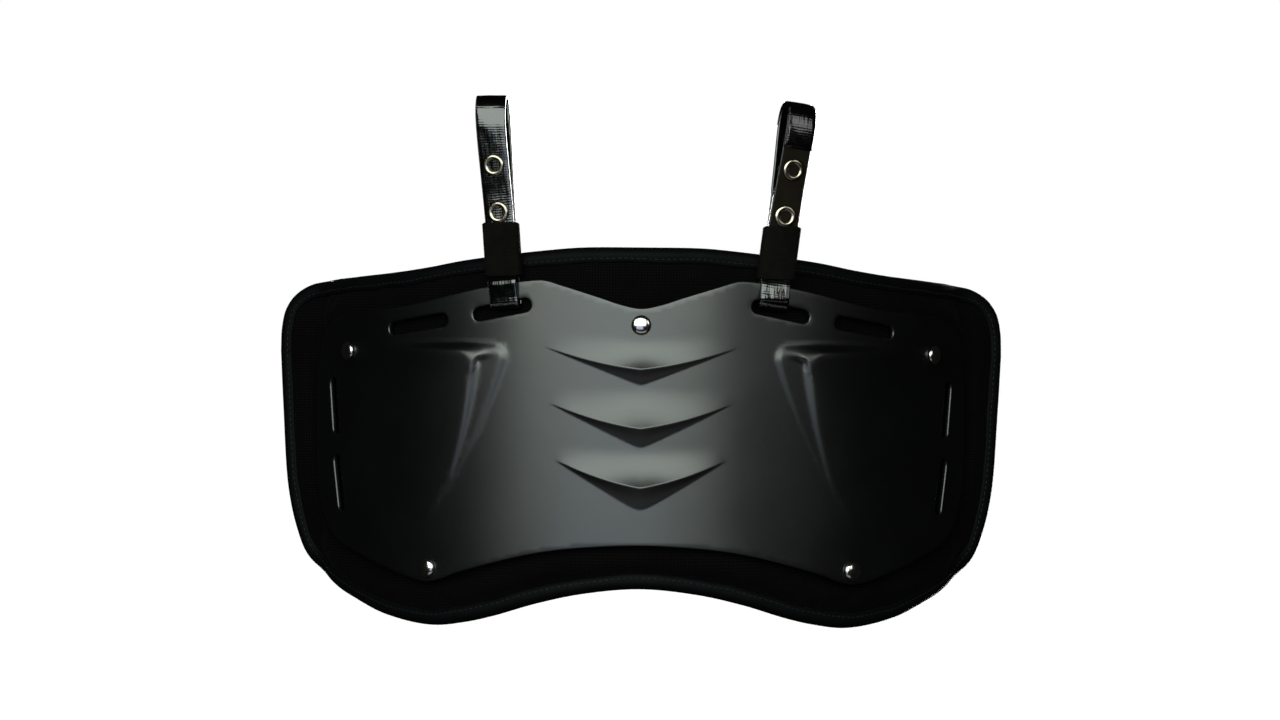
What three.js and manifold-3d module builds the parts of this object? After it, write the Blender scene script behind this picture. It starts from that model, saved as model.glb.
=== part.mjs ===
// Football back plate: a moulded shell riveted to a padded cloth back, hung from two strap loops.
// Millimetres, +Z up. The wearer is on the +Y side and the outer face looks along -Y.
// The origin lies midway between the insides of the two strap loops, where the plate hangs.

import * as THREE from 'three';
import { mergeVertices } from 'three/addons/utils/BufferGeometryUtils.js';
import Module from 'manifold-3d';

const wasm = await Module();
wasm.setup();

// General sizes
const clearance = 0.3;
const plateDrop = 114;         // origin down to the valley of the shell's top edge
const plateForward = 17;       // origin forward to the front of the shell

// Shell: one curved wall, bent about an upright axis
const shellRadius = 210;       // outer face
const shellHalfArc = 232;      // centre line to side edge, measured round the outer face
const shellHeight = 131;       // valley of the top edge down to the bottom edge, on the centre line
const shellWall = 3;
const shellSteps = 30;         // facets from the centre line to each side

// Slots through the shell
const slotHeight = 7.5;
const innerSlotLength = 35.5;
const innerSlotAcross = 79.5;
const innerSlotDrop = 1.2;     // below the valley
const innerSlotSlope = 10.5;   // degrees down towards the side
const outerSlotLength = 43;
const outerSlotAcross = 135;
const outerSlotDrop = 9.4;
const outerSlotSlope = 7.8;
const sideSlotLength = 33;
const sideSlotWidth = 7.5;
const upperSideSlotInset = 23.5; // in from the shell's side edge
const upperSideSlotDrop = 56;
const upperSideSlotLean = 8.5; // degrees, top end outwards
const lowerSideSlotInset = 29.5;
const lowerSideSlotDrop = 100;
const lowerSideSlotLean = 13;

// Raised chevrons down the middle of the shell
const chevronHalfWidth = 53.5;
const chevronHeight = 4;
const chevronRiser = 8.5;      // depth of the first one's riser at its point
const chevronPitch = 32.6;     // from one point to the next
const firstChevronDrop = 33.8; // valley down to the first ridge
const firstRampDrop = 17;      // valley down to the start of the first ramp
const chevronRise = 12.1;      // ridge point up to the ridge tips
const chevronGap = 1;          // foot of one down to the start of the next one's ramp
const ridgeBend = 1.3;         // 1 is a straight ridge, more bends its tips up
const reliefSink = 0.4;        // how far the edges of raised forms dip into the wall
const reliefRoot = 1.4;        // depth of raised forms inside the wall
const reliefLip = 0.5;         // narrowest face of a raised form

// Raised side panels
const panelHeight = 5;         // at the upper inner corner, fading outwards and down
const panelTopDrop = 19.4;
const panelLength = 100;
const panelTopRiser = 5.6;
const panelInnerAcross = 77.5;
const panelSideRiser = 15;
const panelFadeInset = 50;     // in from the shell's side edge
const panelLean = 44;          // the inner edge moves out this far over the panel's length

// Pad behind the shell, wider than it all round, with its side borders flared forwards
const padGap = 2.8;            // shell's inner face to the pad's front, room for a strap
const padSideReach = 30;       // beyond the shell's side edge
const padHeightReach = 58;     // taller than the shell on the centre line
const padThickness = 13;
const padEdgeThickness = 5;
const padEdgeSetback = 3;      // front face at the edge, behind the middle of the pad
const padRoundInset = 18;      // border over which the pad thins
const flareRadius = 20;
const flareAngle = 25;         // degrees, direction of the outermost border
const padSteps = 21;

// Binding tape round the edge of the pad
const bindingWidth = 7.5;
const bindingThickness = 1.2;

// Rivets
const rivetHeadRadius = 5.5;
const rivetHeadHeight = 2.6;
const rivetShankRadius = 2.4;
const rivetFlangeRadius = 7;
const rivetFlangeThickness = 1.2;
const rivetSides = 16;
const centreRivetDrop = 9.3;
const upperRivetInset = 39;    // in from the shell's side edge
const upperRivetDrop = 24.5;
const lowerRivetInset = 105.5;
const lowerRivetDrop = 145.7;

// Straps: a strip looped through each inner slot and round the bridge of shell above it
const strapWidth = 17;
const strapThickness = 1.5;
const strapRunGap = 1.6;       // between the two runs inside the keeper
const bridgeHeight = 14.2;     // slot centre up to the shell's top edge
const bendRise = 3.2;          // slot centre up to the middle of the strap's lower bend
const lapThickness = 1.5;      // extra strap at the overlapping end
const lapLength = 26;          // from the loop's top down the front run
const strapRise = 118.5;       // slot centre to the loop's top
const strapShift = 5.7;        // from the slot's centre towards the middle of the plate
const loopDepth = 12.5;

// Keepers round the two runs
const keeperHeight = 29;
const keeperWall = 1.2;
const keeperEase = 0.9;        // room beside the strap

// Eyelets in both runs
const eyeletRadius = 6.2;
const eyeletHoleRadius = 3.1;
const eyeletBarrelRadius = 4;
const eyeletFlange = 0.9;
const eyeletWasher = 0.5;
const eyeletRollWidth = 1.1;   // rounded rim outside the flat of the flange
const eyeletSides = 12;
const lowerEyeletRise = 53.6;  // slot centre to the lower eyelet
const eyeletPitch = 26;

// Each strap: side of the plate and lean outwards in degrees, then shares of the sizes above
const straps = [
  { name: 'left', side: -1, lean: 4.6, shift: 0.44, rise: 1, eyelet: 1, depth: 0.76, lap: 0 },
  { name: 'right', side: 1, lean: 7.8, shift: 1, rise: 0.965, eyelet: 0.974, depth: 1, lap: 1 },
];

// Chevrons from the top one down: drop is a share of the pitch, the rest are shares of their sizes
const chevrons = [
  { drop: 0, width: 1, rise: 1, riser: 1, height: 1 },
  { drop: 1, width: 0.935, rise: 1.1, riser: 1.21, height: 1.15 },
  { drop: 2, width: 0.87, rise: 1.2, riser: 1.42, height: 1.3 },
];

// Shell edges: across is a share of shellHalfArc, up a share of shellHeight from the valley
const shellTopEdge = [
  { across: 0, up: 0 },
  { across: 0.05, up: 0.017 },
  { across: 0.1, up: 0.046 },
  { across: 0.19, up: 0.095 },
  { across: 0.235, up: 0.117 },
  { across: 0.28, up: 0.114 },
  { across: 0.4, up: 0.083 },
  { across: 0.57, up: 0.023 },
  { across: 0.66, up: 0 },
  { across: 0.75, up: -0.009 },
  { across: 0.9, up: -0.049 },
  { across: 0.965, up: -0.123 },
  { across: 0.993, up: -0.22 },
  { across: 1, up: -0.32 },
];
const shellBottomEdge = [
  { across: 0, up: -1 },
  { across: 0.16, up: -1.015 },
  { across: 0.25, up: -1.037 },
  { across: 0.33, up: -1.068 },
  { across: 0.46, up: -1.13 },
  { across: 0.51, up: -1.16 },
  { across: 0.55, up: -1.172 },
  { across: 0.61, up: -1.155 },
  { across: 0.69, up: -1.116 },
  { across: 0.8, up: -1.06 },
  { across: 0.89, up: -1.004 },
  { across: 0.95, up: -0.918 },
  { across: 0.985, up: -0.8 },
  { across: 1, up: -0.66 },
];

// Pad edges: across is a share of padHalfArc, up a share of padHeight from the shell's valley
const padTopEdge = [
  { across: 0, up: 0.178 },
  { across: 0.13, up: 0.177 },
  { across: 0.2, up: 0.17 },
  { across: 0.4, up: 0.133 },
  { across: 0.5, up: 0.113 },
  { across: 0.6, up: 0.102 },
  { across: 0.75, up: 0.095 },
  { across: 0.875, up: 0.086 },
  { across: 0.927, up: 0.072 },
  { across: 0.965, up: 0.041 },
  { across: 0.988, up: -0.002 },
  { across: 0.998, up: -0.06 },
  { across: 1, up: -0.13 },
];
const padBottomEdge = [
  { across: 0, up: -0.821 },
  { across: 0.128, up: -0.838 },
  { across: 0.227, up: -0.868 },
  { across: 0.33, up: -0.909 },
  { across: 0.4, up: -0.93 },
  { across: 0.485, up: -0.943 },
  { across: 0.62, up: -0.922 },
  { across: 0.73, up: -0.884 },
  { across: 0.82, up: -0.85 },
  { across: 0.875, up: -0.818 },
  { across: 0.927, up: -0.76 },
  { across: 0.956, up: -0.675 },
  { across: 0.978, up: -0.552 },
  { across: 0.9925, up: -0.304 },
  { across: 1, up: -0.13 },
];

// Loop above the keeper: rise is a share of its height, open a share of its opening out
const loopRows = [
  { rise: 0, open: 0 },
  { rise: 0.12, open: 0.11 },
  { rise: 0.3, open: 0.36 },
  { rise: 0.52, open: 0.72 },
  { rise: 0.74, open: 1 },
  { rise: 0.9, open: 0.84 },
  { rise: 0.975, open: 0.42 },
];

const padHalfArc = shellHalfArc + padSideReach;
const padHeight = shellHeight + padHeightReach;
const radians = THREE.MathUtils.degToRad;

// Places on the curved plate. Along is measured round the shell's outer face from the centre
// line, up from the valley of its top edge, and out from the outer face towards the front.
function onShell(along, up, out) {
  const angle = along / shellRadius;
  const radius = shellRadius + out;
  const depth = shellRadius - plateForward - radius * Math.cos(angle);
  return new THREE.Vector3(radius * Math.sin(angle), depth, up - plateDrop);
}

function shellFrame(along, up, out = 0) {
  const angle = along / shellRadius;
  const tangent = new THREE.Vector3(Math.cos(angle), Math.sin(angle), 0);
  const upward = new THREE.Vector3(0, 0, 1);
  const outward = new THREE.Vector3(Math.sin(angle), -Math.cos(angle), 0);
  return new THREE.Matrix4().makeBasis(tangent, upward, outward).setPosition(onShell(along, up, out));
}

// The pad follows the shell to its side edge, then flares forwards. Along is measured on its
// front face, and out from that face towards the front.
const padFrontRadius = shellRadius - shellWall - padGap;
const flareStart = shellHalfArc / shellRadius;
const flareEnd = radians(flareAngle);

function padCourse(along) {
  const arcEnd = padFrontRadius * flareStart;
  const flareLength = flareRadius * (flareStart - flareEnd);
  const onArc = Math.min(along, arcEnd) / padFrontRadius;
  const onFlare = THREE.MathUtils.clamp(along - arcEnd, 0, flareLength) / flareRadius;
  const beyond = Math.max(0, along - arcEnd - flareLength);
  const heading = onArc - onFlare;
  const turnX = flareRadius * (Math.sin(onArc) - Math.sin(heading));
  const turnY = flareRadius * (Math.cos(heading) - Math.cos(onArc));
  const x = padFrontRadius * Math.sin(onArc) + turnX + beyond * Math.cos(heading);
  const y = -padFrontRadius * Math.cos(onArc) + turnY + beyond * Math.sin(heading);
  return { x, y, heading };
}

function onPad(along, up, out) {
  const side = Math.sign(along);
  const { x, y, heading } = padCourse(Math.abs(along));
  const axis = shellRadius - plateForward;
  const across = side * (x + out * Math.sin(heading));
  return new THREE.Vector3(across, axis + y - out * Math.cos(heading), up - plateDrop);
}

// Solids and meshes
function solidFrom(geometry) {
  const bare = new THREE.BufferGeometry();
  bare.setAttribute('position', geometry.getAttribute('position').clone());
  if (geometry.index) bare.setIndex(geometry.index.clone());
  const merged = mergeVertices(bare, 1e-4);
  const vertProperties = new Float32Array(merged.getAttribute('position').array);
  const triVerts = new Uint32Array(merged.index.array);
  return new wasm.Manifold(new wasm.Mesh({ numProp: 3, vertProperties, triVerts }));
}

function geometryFrom(solid) {
  const mesh = solid.getMesh();
  const geometry = new THREE.BufferGeometry();
  geometry.setAttribute('position', new THREE.BufferAttribute(mesh.vertProperties, 3));
  geometry.setIndex(new THREE.BufferAttribute(mesh.triVerts, 1));
  geometry.computeVertexNormals();
  return geometry;
}

function indexedGeometry(points, triangles) {
  const geometry = new THREE.BufferGeometry().setFromPoints(points);
  geometry.setIndex(triangles);
  geometry.computeVertexNormals();
  return geometry;
}

// Smooth curve through the rows of an edge table, read as a height at any distance across
function edgeReader(rows, halfArc, height) {
  const mirrored = rows.slice(1).reverse().map((row) => ({ across: -row.across, up: row.up }));
  const ends = [...mirrored, ...rows];
  const knots = ends.map((row) => new THREE.Vector3(row.across * halfArc, row.up * height, 0));
  const line = new THREE.CatmullRomCurve3(knots).getPoints(600);
  return (along) => {
    const next = Math.max(1, line.findIndex((point) => point.x >= along - 1e-9));
    const low = line[next - 1];
    const high = line[next];
    const share = (along - low.x) / (high.x - low.x);
    return THREE.MathUtils.lerp(low.y, high.y, share);
  };
}

// Closed outline: along the top edge from left to right, then back along the bottom edge
function plateOutline(topRows, bottomRows, halfArc, height, steps) {
  const top = edgeReader(topRows, halfArc, height);
  const bottom = edgeReader(bottomRows, halfArc, height);
  const stations = [];
  for (let step = -steps; step <= steps; step += 1) {
    stations.push(halfArc * Math.sin((step / steps) * Math.PI / 2));
  }
  const upper = stations.map((along) => new THREE.Vector2(along, top(along)));
  const lower = stations.map((along) => new THREE.Vector2(along, bottom(along))).reverse();
  const closed = upper[0].y - lower[lower.length - 1].y < 1e-6;
  return closed ? [...upper, ...lower.slice(1, -1)] : [...upper, ...lower];
}

function insetOutline(outline, inset) {
  return outline.map((point, index) => {
    const before = outline[(index - 1 + outline.length) % outline.length];
    const after = outline[(index + 1) % outline.length];
    const direction = after.clone().sub(before).normalize();
    return new THREE.Vector2(point.x + direction.y * inset, point.y - direction.x * inset);
  });
}

// A closed body from rings of points, its first and last rings filled across
function ringBody(rings, shared) {
  const count = rings[0].length;
  const last = rings.length - 1;
  const points = rings.flat();
  const triangles = [];
  for (let ring = 0; ring < last; ring += 1) {
    for (let index = 0; index < count; index += 1) {
      const a = ring * count + index;
      const b = ring * count + (index + 1) % count;
      triangles.push(a, b, a + count, b, b + count, a + count);
    }
  }
  const fill = (base, flip) => {
    const ends = shared ? count : count - 1;
    for (let low = 0; low < count / 2; low += 1) {
      const high = ends - low;
      if (high - low < 2) break;
      const corners = [low, low + 1, high - 1, high % count].map((corner) => base + corner);
      const halves = [[corners[0], corners[1], corners[2]], [corners[0], corners[2], corners[3]]];
      const real = halves.filter((half) => new Set(half).size === 3);
      real.forEach((half) => triangles.push(...(flip ? half.reverse() : half)));
    }
  };
  fill(0, true);
  fill(last * count, false);
  return indexedGeometry(points, triangles);
}

// A raised form on the shell: a grid of heights with a flat root inside the wall
function reliefBody(columns, rows, place) {
  const points = [];
  const triangles = [];
  const across = rows + 1;
  const layer = (columns + 1) * across;
  for (const root of [false, true]) {
    for (let column = 0; column <= columns; column += 1) {
      for (let row = 0; row <= rows; row += 1) {
        const { along, up, out } = place(column, row);
        points.push(onShell(along, up, root ? -reliefRoot : out));
      }
    }
  }
  const quad = (a, b, c, d) => triangles.push(a, c, b, a, d, c);
  for (let column = 0; column < columns; column += 1) {
    for (let row = 0; row < rows; row += 1) {
      const a = column * across + row;
      quad(a, a + 1, a + across + 1, a + across);
      quad(layer + a, layer + a + across, layer + a + across + 1, layer + a + 1);
    }
    const low = column * across;
    const high = low + rows;
    quad(low, low + across, layer + low + across, layer + low);
    quad(high, layer + high, layer + high + across, high + across);
  }
  for (let row = 0; row < rows; row += 1) {
    const far = columns * across + row;
    quad(row, layer + row, layer + row + 1, row + 1);
    quad(far, far + 1, layer + far + 1, layer + far);
  }
  return indexedGeometry(points, triangles);
}

// Shingled chevron: its face ramps up to a ridge, then drops to its foot
function chevron(row, above) {
  const riser = chevronRiser * row.riser;
  const height = chevronHeight * row.height;
  const halfWidth = chevronHalfWidth * row.width;
  const rise = chevronRise * row.rise;
  const ridgeDrop = firstChevronDrop + chevronPitch * row.drop;
  const footDrop = ridgeDrop + riser;
  const footAbove = above ? ridgeDrop - chevronPitch + chevronRiser * above.riser : 0;
  const rampDrop = above ? footAbove + chevronGap : firstRampDrop;
  const columns = 16;
  return reliefBody(columns, 2, (column, line) => {
    const share = (2 * column) / columns - 1;
    const reach = Math.abs(share);
    const ridge = -ridgeDrop + rise * reach ** ridgeBend;
    const foot = -footDrop + (rise + riser) * reach;
    const tip = rise - ridgeDrop + chevronGap;
    const start = THREE.MathUtils.lerp(-rampDrop, tip, reach);
    const lift = height * Math.max(0, ridge - foot) / riser;
    const ups = [Math.max(start, ridge + reliefLip), ridge, Math.min(foot, ridge - reliefLip)];
    const out = line === 1 ? lift - reliefSink * reach ** 8 : -reliefSink;
    return { along: share * halfWidth, up: ups[2 - line], out };
  });
}

// Raised side panel, highest at its upper inner corner
function sidePanel(side) {
  const columns = 7;
  const rows = 9;
  return reliefBody(columns, rows, (column, row) => {
    const inward = side > 0 ? column : columns - column;
    const downward = rows - row;
    const down = Math.max(0, (downward - 1) / (rows - 1));
    const footDown = downward === 0 ? 0 : panelTopRiser + down * (panelLength - panelTopRiser);
    const shift = panelLean * (footDown / panelLength);
    const taper = panelSideRiser * (1 - down);
    const foot = panelInnerAcross + shift;
    const fade = shellHalfArc - panelFadeInset - 0.3 * shift;
    const out = Math.max(0, (inward - 1) / (columns - 1));
    const across = THREE.MathUtils.lerp(foot + taper + 1, fade, out);
    const rounded = inward === 0 && downward === 0;
    const corner = rounded ? 0.3 * panelSideRiser : 0;
    const along = inward === 0 ? foot + corner : across;
    const onRim = inward === 0 || downward === 0;
    const lift = onRim ? 0 : panelHeight * (1 - out) * (1 - down);
    const drop = panelTopDrop + footDown + (rounded ? 2 : 0);
    return { along: side * along, up: -drop, out: lift - reliefSink };
  });
}

// Cutters
function slotCutter(across, drop, length, width, turn) {
  const straight = (length - width) / 2;
  const shape = new THREE.Shape();
  shape.absarc(straight, 0, width / 2, -Math.PI / 2, Math.PI / 2);
  shape.absarc(-straight, 0, width / 2, Math.PI / 2, (3 * Math.PI) / 2);
  const depth = 6 * shellWall;
  const geometry = new THREE.ExtrudeGeometry(shape, { depth, curveSegments: 6, bevelEnabled: false });
  geometry.translate(0, 0, -depth / 2);
  geometry.rotateZ(radians(turn));
  geometry.applyMatrix4(shellFrame(across, -drop));
  return solidFrom(geometry);
}

function holeCutter(radius, depth, frame) {
  const geometry = new THREE.CylinderGeometry(radius, radius, depth, rivetSides);
  geometry.rotateX(Math.PI / 2);
  geometry.applyMatrix4(frame);
  return solidFrom(geometry);
}

const slots = [];
for (const side of [-1, 1]) {
  slots.push([side * innerSlotAcross, innerSlotDrop, innerSlotLength, slotHeight, -side * innerSlotSlope]);
  slots.push([side * outerSlotAcross, outerSlotDrop, outerSlotLength, slotHeight, -side * outerSlotSlope]);
  const upperAcross = side * (shellHalfArc - upperSideSlotInset);
  const lowerAcross = side * (shellHalfArc - lowerSideSlotInset);
  const upperTurn = 90 - side * upperSideSlotLean;
  const lowerTurn = 90 - side * lowerSideSlotLean;
  slots.push([upperAcross, upperSideSlotDrop, sideSlotLength, sideSlotWidth, upperTurn]);
  slots.push([lowerAcross, lowerSideSlotDrop, sideSlotLength, sideSlotWidth, lowerTurn]);
}

const upperRivetAcross = shellHalfArc - upperRivetInset;
const lowerRivetAcross = shellHalfArc - lowerRivetInset;
const rivets = [
  { name: 'centre', along: 0, drop: centreRivetDrop },
  { name: 'upper_left', along: -upperRivetAcross, drop: upperRivetDrop },
  { name: 'upper_right', along: upperRivetAcross, drop: upperRivetDrop },
  { name: 'lower_left', along: -lowerRivetAcross, drop: lowerRivetDrop },
  { name: 'lower_right', along: lowerRivetAcross, drop: lowerRivetDrop },
];

// Shell with its relief, slots and rivet holes
function shellGeometry() {
  const outline = plateOutline(shellTopEdge, shellBottomEdge, shellHalfArc, shellHeight, shellSteps);
  const outer = outline.map((point) => onShell(point.x, point.y, 0));
  const inner = outline.map((point) => onShell(point.x, point.y, -shellWall));
  let solid = solidFrom(ringBody([outer, inner], false));
  chevrons.forEach((row, index) => {
    solid = solid.add(solidFrom(chevron(row, chevrons[index - 1])));
  });
  for (const side of [-1, 1]) solid = solid.add(solidFrom(sidePanel(side)));
  for (const slot of slots) solid = solid.subtract(slotCutter(...slot));
  for (const rivet of rivets) {
    const frame = shellFrame(rivet.along, -rivet.drop);
    solid = solid.subtract(holeCutter(rivetShankRadius + clearance, 6 * shellWall, frame));
  }
  return geometryFrom(solid);
}

// Pad: thick in the middle, thinner at its border, on the flared course
const padInset = bindingThickness + clearance;
const padOutline = plateOutline(padTopEdge, padBottomEdge, padHalfArc, padHeight, padSteps);

// Section of the pad's border: inset from the outline, front face and back face
const tapeInset = padInset + bindingWidth;
const padSection = [
  { inset: padInset, front: -padEdgeSetback, back: -padEdgeSetback - padEdgeThickness },
  { inset: tapeInset, front: -0.5 * padEdgeSetback, back: -0.77 * padThickness },
  { inset: 0.5 * (tapeInset + padRoundInset), front: -0.13 * padEdgeSetback, back: -0.92 * padThickness },
  { inset: padRoundInset, front: 0, back: -padThickness },
];

function padRing(inset, out) {
  return insetOutline(padOutline, inset).map((point) => onPad(point.x, point.y, out));
}

function padGeometry() {
  const fronts = [...padSection].reverse().map((row) => padRing(row.inset, row.front));
  const backs = padSection.map((row) => padRing(row.inset, row.back));
  let solid = solidFrom(ringBody([...fronts, ...backs], true));
  for (const rivet of rivets) {
    const frame = shellFrame(rivet.along, -rivet.drop);
    solid = solid.subtract(holeCutter(rivetShankRadius + clearance, 4 * padThickness, frame));
  }
  return geometryFrom(solid);
}

// Binding: a folded tape whose section runs round the pad's edge
function bindingGeometry() {
  const [edge, lap] = padSection;
  const wrap = clearance + bindingThickness;
  const section = [
    { inset: lap.inset, out: lap.front + clearance },
    { inset: lap.inset, out: lap.front + wrap },
    { inset: 0.25 * bindingWidth, out: edge.front + 0.9 * wrap },
    { inset: 0, out: edge.front - 0.2 * padEdgeThickness },
    { inset: 0, out: edge.back + 0.2 * padEdgeThickness },
    { inset: 0.25 * bindingWidth, out: edge.back - 0.9 * wrap },
    { inset: lap.inset, out: lap.back - wrap },
    { inset: lap.inset, out: lap.back - clearance },
    { inset: bindingThickness, out: edge.back - clearance },
    { inset: bindingThickness, out: edge.front + clearance },
  ];
  const rings = section.map((row) => padRing(row.inset, row.out));
  const count = rings[0].length;
  const triangles = [];
  rings.forEach((ring, turn) => {
    const here = turn * count;
    const next = ((turn + 1) % rings.length) * count;
    for (let index = 0; index < count; index += 1) {
      const after = (index + 1) % count;
      triangles.push(here + index, here + after, next + after);
      triangles.push(here + index, next + after, next + index);
    }
  });
  return indexedGeometry(rings.flat(), triangles);
}

// Rivet: domed head in front, shank through shell and pad, flange behind the pad
function rivetGeometry() {
  const hollowRadius = padFrontRadius - padThickness;
  const padFacet = (padHalfArc * Math.PI) / (2 * padSteps);
  const bow = (rivetFlangeRadius ** 2 + 0.25 * padFacet ** 2) / (2 * hollowRadius);
  const back = -shellWall - padGap - padThickness - clearance - bow;
  const rim = clearance + 0.25 * rivetHeadHeight;
  const crown = clearance + rivetHeadHeight;
  const profile = [
    [0, crown],
    [0.45 * rivetHeadRadius, crown - 0.1 * rivetHeadHeight],
    [0.8 * rivetHeadRadius, crown - 0.36 * rivetHeadHeight],
    [rivetHeadRadius, rim],
    [rivetHeadRadius, clearance],
    [rivetShankRadius, clearance],
    [rivetShankRadius, back],
    [rivetFlangeRadius, back],
    [rivetFlangeRadius, back - rivetFlangeThickness],
    [0, back - rivetFlangeThickness],
  ];
  const points = profile.map(([radius, height]) => new THREE.Vector2(radius, height)).reverse();
  return new THREE.LatheGeometry(points, rivetSides).rotateX(Math.PI / 2);
}

// Course of a strap in its own plane: out from the middle of the shell's wall, rise from the slot
const runOffset = (strapRunGap + strapThickness) / 2;
const strapMiddle = -shellWall / 2;
const bridgeBow = strapWidth ** 2 / (8 * shellRadius);
const bridgeOffset = shellWall / 2 + bridgeBow + clearance + strapThickness / 2;

function keeperFoot(strap) {
  return strap.eyelet * lowerEyeletRise - eyeletRadius - clearance - keeperHeight;
}

function strapCourse(strap) {
  const half = (strap.depth * loopDepth - strapThickness) / 2;
  const keeperTop = keeperFoot(strap) + keeperHeight;
  const loopStart = keeperTop - strapThickness;
  const height = strap.rise * strapRise - strapThickness / 2 - loopStart;
  const front = [];
  front.push(new THREE.Vector2(bridgeOffset, bendRise));
  front.push(new THREE.Vector2(bridgeOffset, bridgeHeight));
  front.push(new THREE.Vector2(runOffset, keeperFoot(strap) - clearance));
  front.push(new THREE.Vector2(runOffset, loopStart - 2 * strapThickness));
  const knots = loopRows.map((row) => {
    const open = THREE.MathUtils.lerp(runOffset, half, row.open);
    return new THREE.Vector3(open, loopStart + row.rise * height, 0);
  });
  const mirrored = [...knots].reverse().map((knot) => new THREE.Vector3(-knot.x, knot.y, 0));
  const top = new THREE.Vector3(0, loopStart + height, 0);
  const loop = new THREE.CatmullRomCurve3([...knots, top, ...mirrored]);
  const round = loop.getSpacedPoints(36).map((point) => new THREE.Vector2(point.x, point.y));
  const back = [...front].reverse().map((point) => new THREE.Vector2(-point.x, point.y));
  const bend = [];
  for (let step = 1; step < 6; step += 1) {
    const turn = Math.PI + (step / 6) * Math.PI;
    const reach = bridgeOffset;
    bend.push(new THREE.Vector2(reach * Math.cos(turn), bendRise + reach * Math.sin(turn)));
  }
  return [...front, ...round, ...back, ...bend];
}

// Height of the strap's front run at a rise, as its place and its lean out of the upright
function runAt(strap, rise) {
  const course = strapCourse(strap);
  const next = course.findIndex((point) => point.y >= rise);
  const low = course[next - 1];
  const high = course[next];
  const share = (rise - low.y) / (high.y - low.y);
  const offset = THREE.MathUtils.lerp(low.x, high.x, share);
  return { offset, tilt: Math.atan2(high.x - low.x, high.y - low.y) };
}

function strapFrame(strap) {
  const shift = strap.shift * strapShift;
  const climb = shift * Math.tan(radians(innerSlotSlope));
  const frame = shellFrame(strap.side * (innerSlotAcross - shift), climb - innerSlotDrop);
  const lean = new THREE.Matrix4().makeRotationZ(-strap.side * radians(strap.lean));
  return frame.multiply(lean);
}

function eyeletFrame(strap, rise, run) {
  const { offset, tilt } = runAt(strap, rise);
  const frame = new THREE.Matrix4().makeRotationX(run * tilt);
  if (run < 0) frame.multiply(new THREE.Matrix4().makeRotationY(Math.PI));
  frame.setPosition(0, rise, strapMiddle + run * offset);
  return frame;
}

function eyeletRises(strap) {
  const lower = strap.eyelet * lowerEyeletRise;
  return { lower, upper: lower + eyeletPitch };
}

const eyeletRuns = { front: 1, back: -1 };

function strapGeometry(strap) {
  const course = strapCourse(strap);
  const outside = insetOutline(course, strapThickness / 2);
  const inside = insetOutline(course, -strapThickness / 2);
  const overlap = insetOutline(course, strapThickness / 2 + lapThickness);
  const lapped = outside.map((point, index) => {
    const share = course[index].x > 0 ? strap.lap : 0.5 * strap.lap;
    const covered = share > 0 && course[index].y > strap.rise * strapRise - share * lapLength;
    return covered ? overlap[index] : point;
  });
  const shape = new THREE.Shape(lapped);
  shape.holes.push(new THREE.Path(inside));
  const geometry = new THREE.ExtrudeGeometry(shape, { depth: strapWidth, bevelEnabled: false });
  geometry.translate(0, 0, -strapWidth / 2);
  geometry.rotateY(-Math.PI / 2);
  geometry.translate(0, 0, strapMiddle);
  let solid = solidFrom(geometry);
  for (const rise of Object.values(eyeletRises(strap))) {
    for (const run of Object.values(eyeletRuns)) {
      const frame = eyeletFrame(strap, rise, run);
      const radius = eyeletBarrelRadius + clearance;
      const cutter = new THREE.CylinderGeometry(radius, radius, 2.4 * strapThickness, eyeletSides);
      cutter.rotateX(Math.PI / 2);
      cutter.applyMatrix4(frame);
      solid = solid.subtract(solidFrom(cutter));
    }
  }
  return geometryFrom(solid);
}

// Eyelet: rolled flange outside, barrel through the strap, thin washer inside
function eyeletGeometry() {
  const face = strapThickness / 2 + clearance;
  const land = eyeletRadius - eyeletRollWidth;
  const profile = [
    [eyeletHoleRadius, face + eyeletFlange],
    [land, face + eyeletFlange],
    [eyeletRadius, face + 0.4 * eyeletFlange],
    [eyeletRadius, face],
    [eyeletBarrelRadius, face],
    [eyeletBarrelRadius, -face],
    [eyeletRadius, -face],
    [eyeletRadius, -face - eyeletWasher],
    [eyeletHoleRadius, -face - eyeletWasher],
    [eyeletHoleRadius, face + eyeletFlange],
  ];
  const points = profile.map(([radius, height]) => new THREE.Vector2(radius, height)).reverse();
  return new THREE.LatheGeometry(points, eyeletSides).rotateX(Math.PI / 2);
}

// Keeper: a flat sleeve round both runs
function keeperGeometry(strap) {
  const insideDepth = strapRunGap + 2 * (strapThickness + clearance);
  const insideWidth = strapWidth + 2 * keeperEase;
  const outline = (depth, width, radius) => {
    const shape = new THREE.Path();
    const x = width / 2 - radius;
    const y = depth / 2 - radius;
    shape.absarc(x, y, radius, 0, Math.PI / 2);
    shape.absarc(-x, y, radius, Math.PI / 2, Math.PI);
    shape.absarc(-x, -y, radius, Math.PI, 1.5 * Math.PI);
    shape.absarc(x, -y, radius, 1.5 * Math.PI, 2 * Math.PI);
    return shape;
  };
  const outer = outline(insideDepth + 2 * keeperWall, insideWidth + 2 * keeperWall, 0.35 * insideDepth);
  const shape = new THREE.Shape(outer.getPoints(4));
  shape.holes.push(outline(insideDepth, insideWidth, 0.1 * insideDepth));
  const options = { depth: keeperHeight, curveSegments: 3, bevelEnabled: false };
  const geometry = new THREE.ExtrudeGeometry(shape, options);
  geometry.rotateX(-Math.PI / 2);
  geometry.translate(0, keeperFoot(strap), strapMiddle);
  return geometry;
}

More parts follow.
